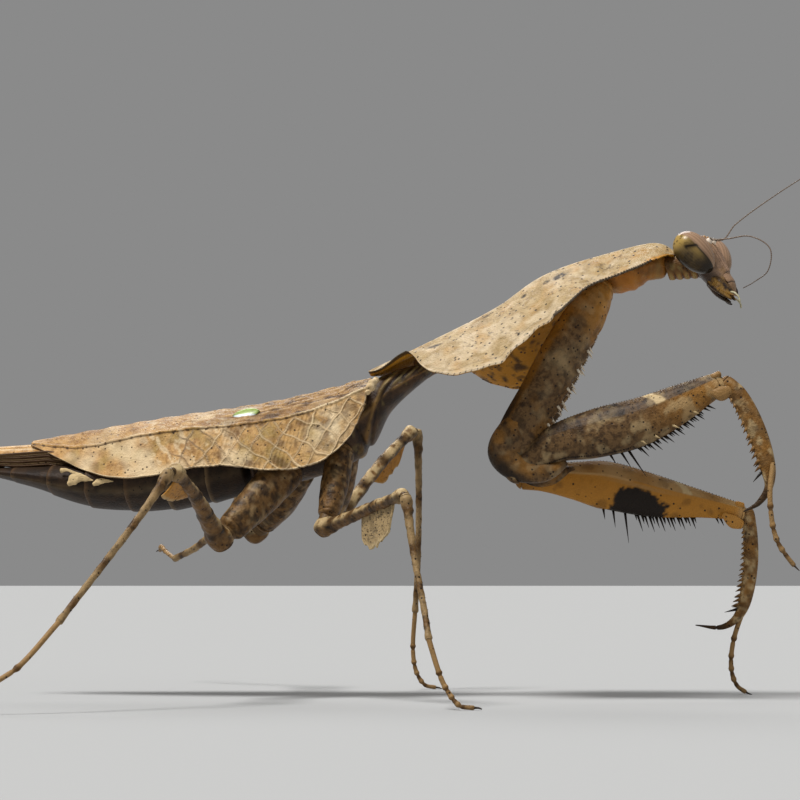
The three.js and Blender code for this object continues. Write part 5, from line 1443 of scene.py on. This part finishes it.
def leg_neck(one, two, radius):
    """The round neck that joins two parts of a leg, from inside the end of one to inside the start of two."""
    (before, end), (start, after) = np.array(one[-2:], float), np.array(two[:2], float)
    path = [end + unit(before - end) * 0.5, (end + start) / 2, start + unit(after - start) * 0.5]
    return pipe(limb(path, [radius] * 3, rows=24, sides=20, up=(0.3, 0.2, 1)))


for leg_name, leg in WALKING.items():
    pair, side_name = leg_name.split("_")
    seed = 70 + 5 * list(WALKING).index(leg_name)
    coxa = limb(*leg["coxa"], rows=70, sides=40,
                form=lambda t, a: 0.97 + 0.05 * np.cos(3 * a) + 0.012 * np.sin(23 * t + 3 * np.cos(2 * a)))

    def coxa_pigment(points, number):
        """Mottled brown; a dark neck."""
        if number:
            return 0.5, 0.15, 0.1
        return triple(0.75 * patches(-0.2, 0.5, points, 0.45, seed), 0.10,
                      0.3 * patches(0.1, 0.6, points, 0.7, seed + 1))

    hip = leg_neck(leg["coxa"][0], leg["femur"][0], leg["femur"][1][0] * 0.8)
    build(f"{pair}_coxa_{side_name}_horn", [pipe(coxa), hip], "leg", f"{pair}_coxa_{side_name}",
          paint=LEG_BARK, pigment=coxa_pigment)

    femur = limb(*leg["femur"], rows=170, sides=36, form=knee_form)
    start, end, hang, ochre, skew = leg["lobe"]
    u, v = grid(np.linspace(0, 1, 80), np.linspace(0, 1, 80))
    at = walked(route(leg["femur"][0], 200)[0], start + (end - start) * u)
    chance = np.random.default_rng(seed)
    notches = chance.uniform(-1, 1, 19)
    ragged = 1 + 0.07 * np.interp(u, np.linspace(0, 1, len(notches)), notches) * v
    corner = np.clip(np.sin(np.pi * (0.012 + 0.976 * u)), 0, 1) ** 0.07
    fall = v * track(hang, u) * ragged * (1 - v * (1 - corner))
    curl = 0.22 * np.sin(3.1 * u + 0.8) * v**2 + 0.10 * np.sin(9 * u) * v
    at = at + triple(curl + skew * v * (0.6 + 0.4 * v), 0.4 * curl, -fall)
    rib = 0.05 * np.abs(np.sin(10 * u + 2 * v)) * v
    leaf_low = at + triple(0.22 + rib, 0.05, 0) * (1 - 0.45 * v[..., None])
    shells = [pipe(femur), slab(at - triple(rib, 0, 0), leaf_low)]
    t = chance.uniform(0.1, 0.95, 26)
    shells += teeth(femur, t, chance.uniform(0, 2 * np.pi, 26), 0.05, 0.06, lean=0.2, sink=0.04)

    def femur_pigment(points, number):
        """Grey-brown with dark bands and a pale knee, pale patches on top as painted light and dark patches
        below as painted shade; the lobe tan or ochre with dark dots and a pale rim.
        """
        if number == 1:
            down = np.tile(v.ravel(), 2)
            rim = ease(0.88, 0.98, down)
            spots = patches(0.25, 0.42, points * (0.7, 0.25, 1.0), 0.125, seed + 2) * 0.8
            spots = spots * ease(0.02, 0.2, down) * (1 - ease(0.75, 0.9, down))
            veil = 0.5 * (1 - ease(0.0, 0.25, down)) + 0.35 * patches(0.0, 0.6, points, 0.6, seed + 5)
            return triple(np.maximum(spots * (1 - 0.6 * ochre), veil), ochre, (1 - ochre) * 0.85 + 0.5 * rim)
        if number:
            return 0.3, 0.1, 0.5
        along, turn = ring_places(femur)
        bands = rings_at(along, (0.16, 0.36, 0.60, 0.83), 0.035)
        # Dark bands, and dark patches gathered on the lower side as painted shade.
        dark = (0.85 * bands * (0.7 + 0.5 * lumps(points, 0.5, seed + 3))
                + 0.6 * patches(-0.1, 0.4, points, 0.5, seed + 4) * crease(np.sin(turn), -0.3, 0.5))
        # Pale patches gathered on the upper side as painted light from above; a pale knee.
        pale = (0.85 * (1 - bands) * ease(-0.5, 0.3, np.sin(turn)) * patches(-0.6, 0.2, points, 0.5, seed + 6)
                + 0.35 * crease(along, 0.97, 0.05))
        return triple(dark, 0.12, pale)

    build(f"{pair}_femur_{side_name}_horn", shells, "leg", f"{pair}_femur_{side_name}", paint=LEG_BARK,
          pigment=femur_pigment)

    shin = limb(*leg["tibia"], rows=170, sides=24, form=shin_form, up=(1, 0, 0.2))
    t = chance.uniform(0.08, 0.97, 40)
    shells = [pipe(shin)] + teeth(shin, t, chance.uniform(0, 2 * np.pi, 40), 0.07, 0.045, lean=0.8, sink=0.03)
    shells.append(leg_neck(leg["femur"][0], leg["tibia"][0], 0.42))

    def shin_pigment(points, number):
        """Grey-brown with four dark bands and pale ends."""
        if number:
            return 0.55, 0.1, 0.1
        along, _ = ring_places(shin)
        bands = rings_at(along, (0.13, 0.38, 0.62, 0.86), 0.04)
        dark = (0.5 * bands * (0.7 + 0.5 * lumps(points, 0.4, seed + 3))
                + 0.45 * patches(0.15, 0.6, points, 0.4, seed + 4))
        return triple(dark, 0.12, 0.36 * (1 - bands) + 0.25 * crease(along, 0.0, 0.05))

    build(f"{pair}_tibia_{side_name}_horn", shells, "leg", f"{pair}_tibia_{side_name}", paint=LEG_BARK,
          pigment=shin_pigment)

    rings, claws = foot(leg["tarsus"], 0.25)
    build(f"{pair}_tarsus_{side_name}_foot", [pipe(rings)] + claws, "leg", f"{pair}_tarsus_{side_name}",
          paint=LEG_BARK, pigment=tarsus_pigment)


# ---- Cerci ----
# Two short jointed feelers at the tail end, of the same horny skin, each of eight bead-like joints.
def bead_joint(t):
    """1 at the joints between a cercus's eight beads, and 0 on the beads, at t along it."""
    return 1 - np.abs(np.sin(8 * np.pi * t)) ** 0.5


for side_name, way in SIDES:
    cercus = limb([(-41.4, way * 1.4, 23.5), (-43.2, way * 2.1, 23.4), (-45.0, way * 2.5, 23.0)],
                  [0.42, 0.38, 0.18], rows=110, sides=24, form=lambda t, a: 1 - 0.16 * bead_joint(t))

    def cercus_pigment(points, number):
        """Brown, with a darker ring at each joint and a paler tip."""
        along, _ = ring_places(cercus)
        return triple(0.6 * bead_joint(along), 0.2, 0.35 * ease(0.6, 1.0, along))

    build(f"cercus_{side_name}_horn", [pipe(cercus)], "body", f"cercus_{side_name}", paint=LEG_BARK,
          pigment=cercus_pigment)
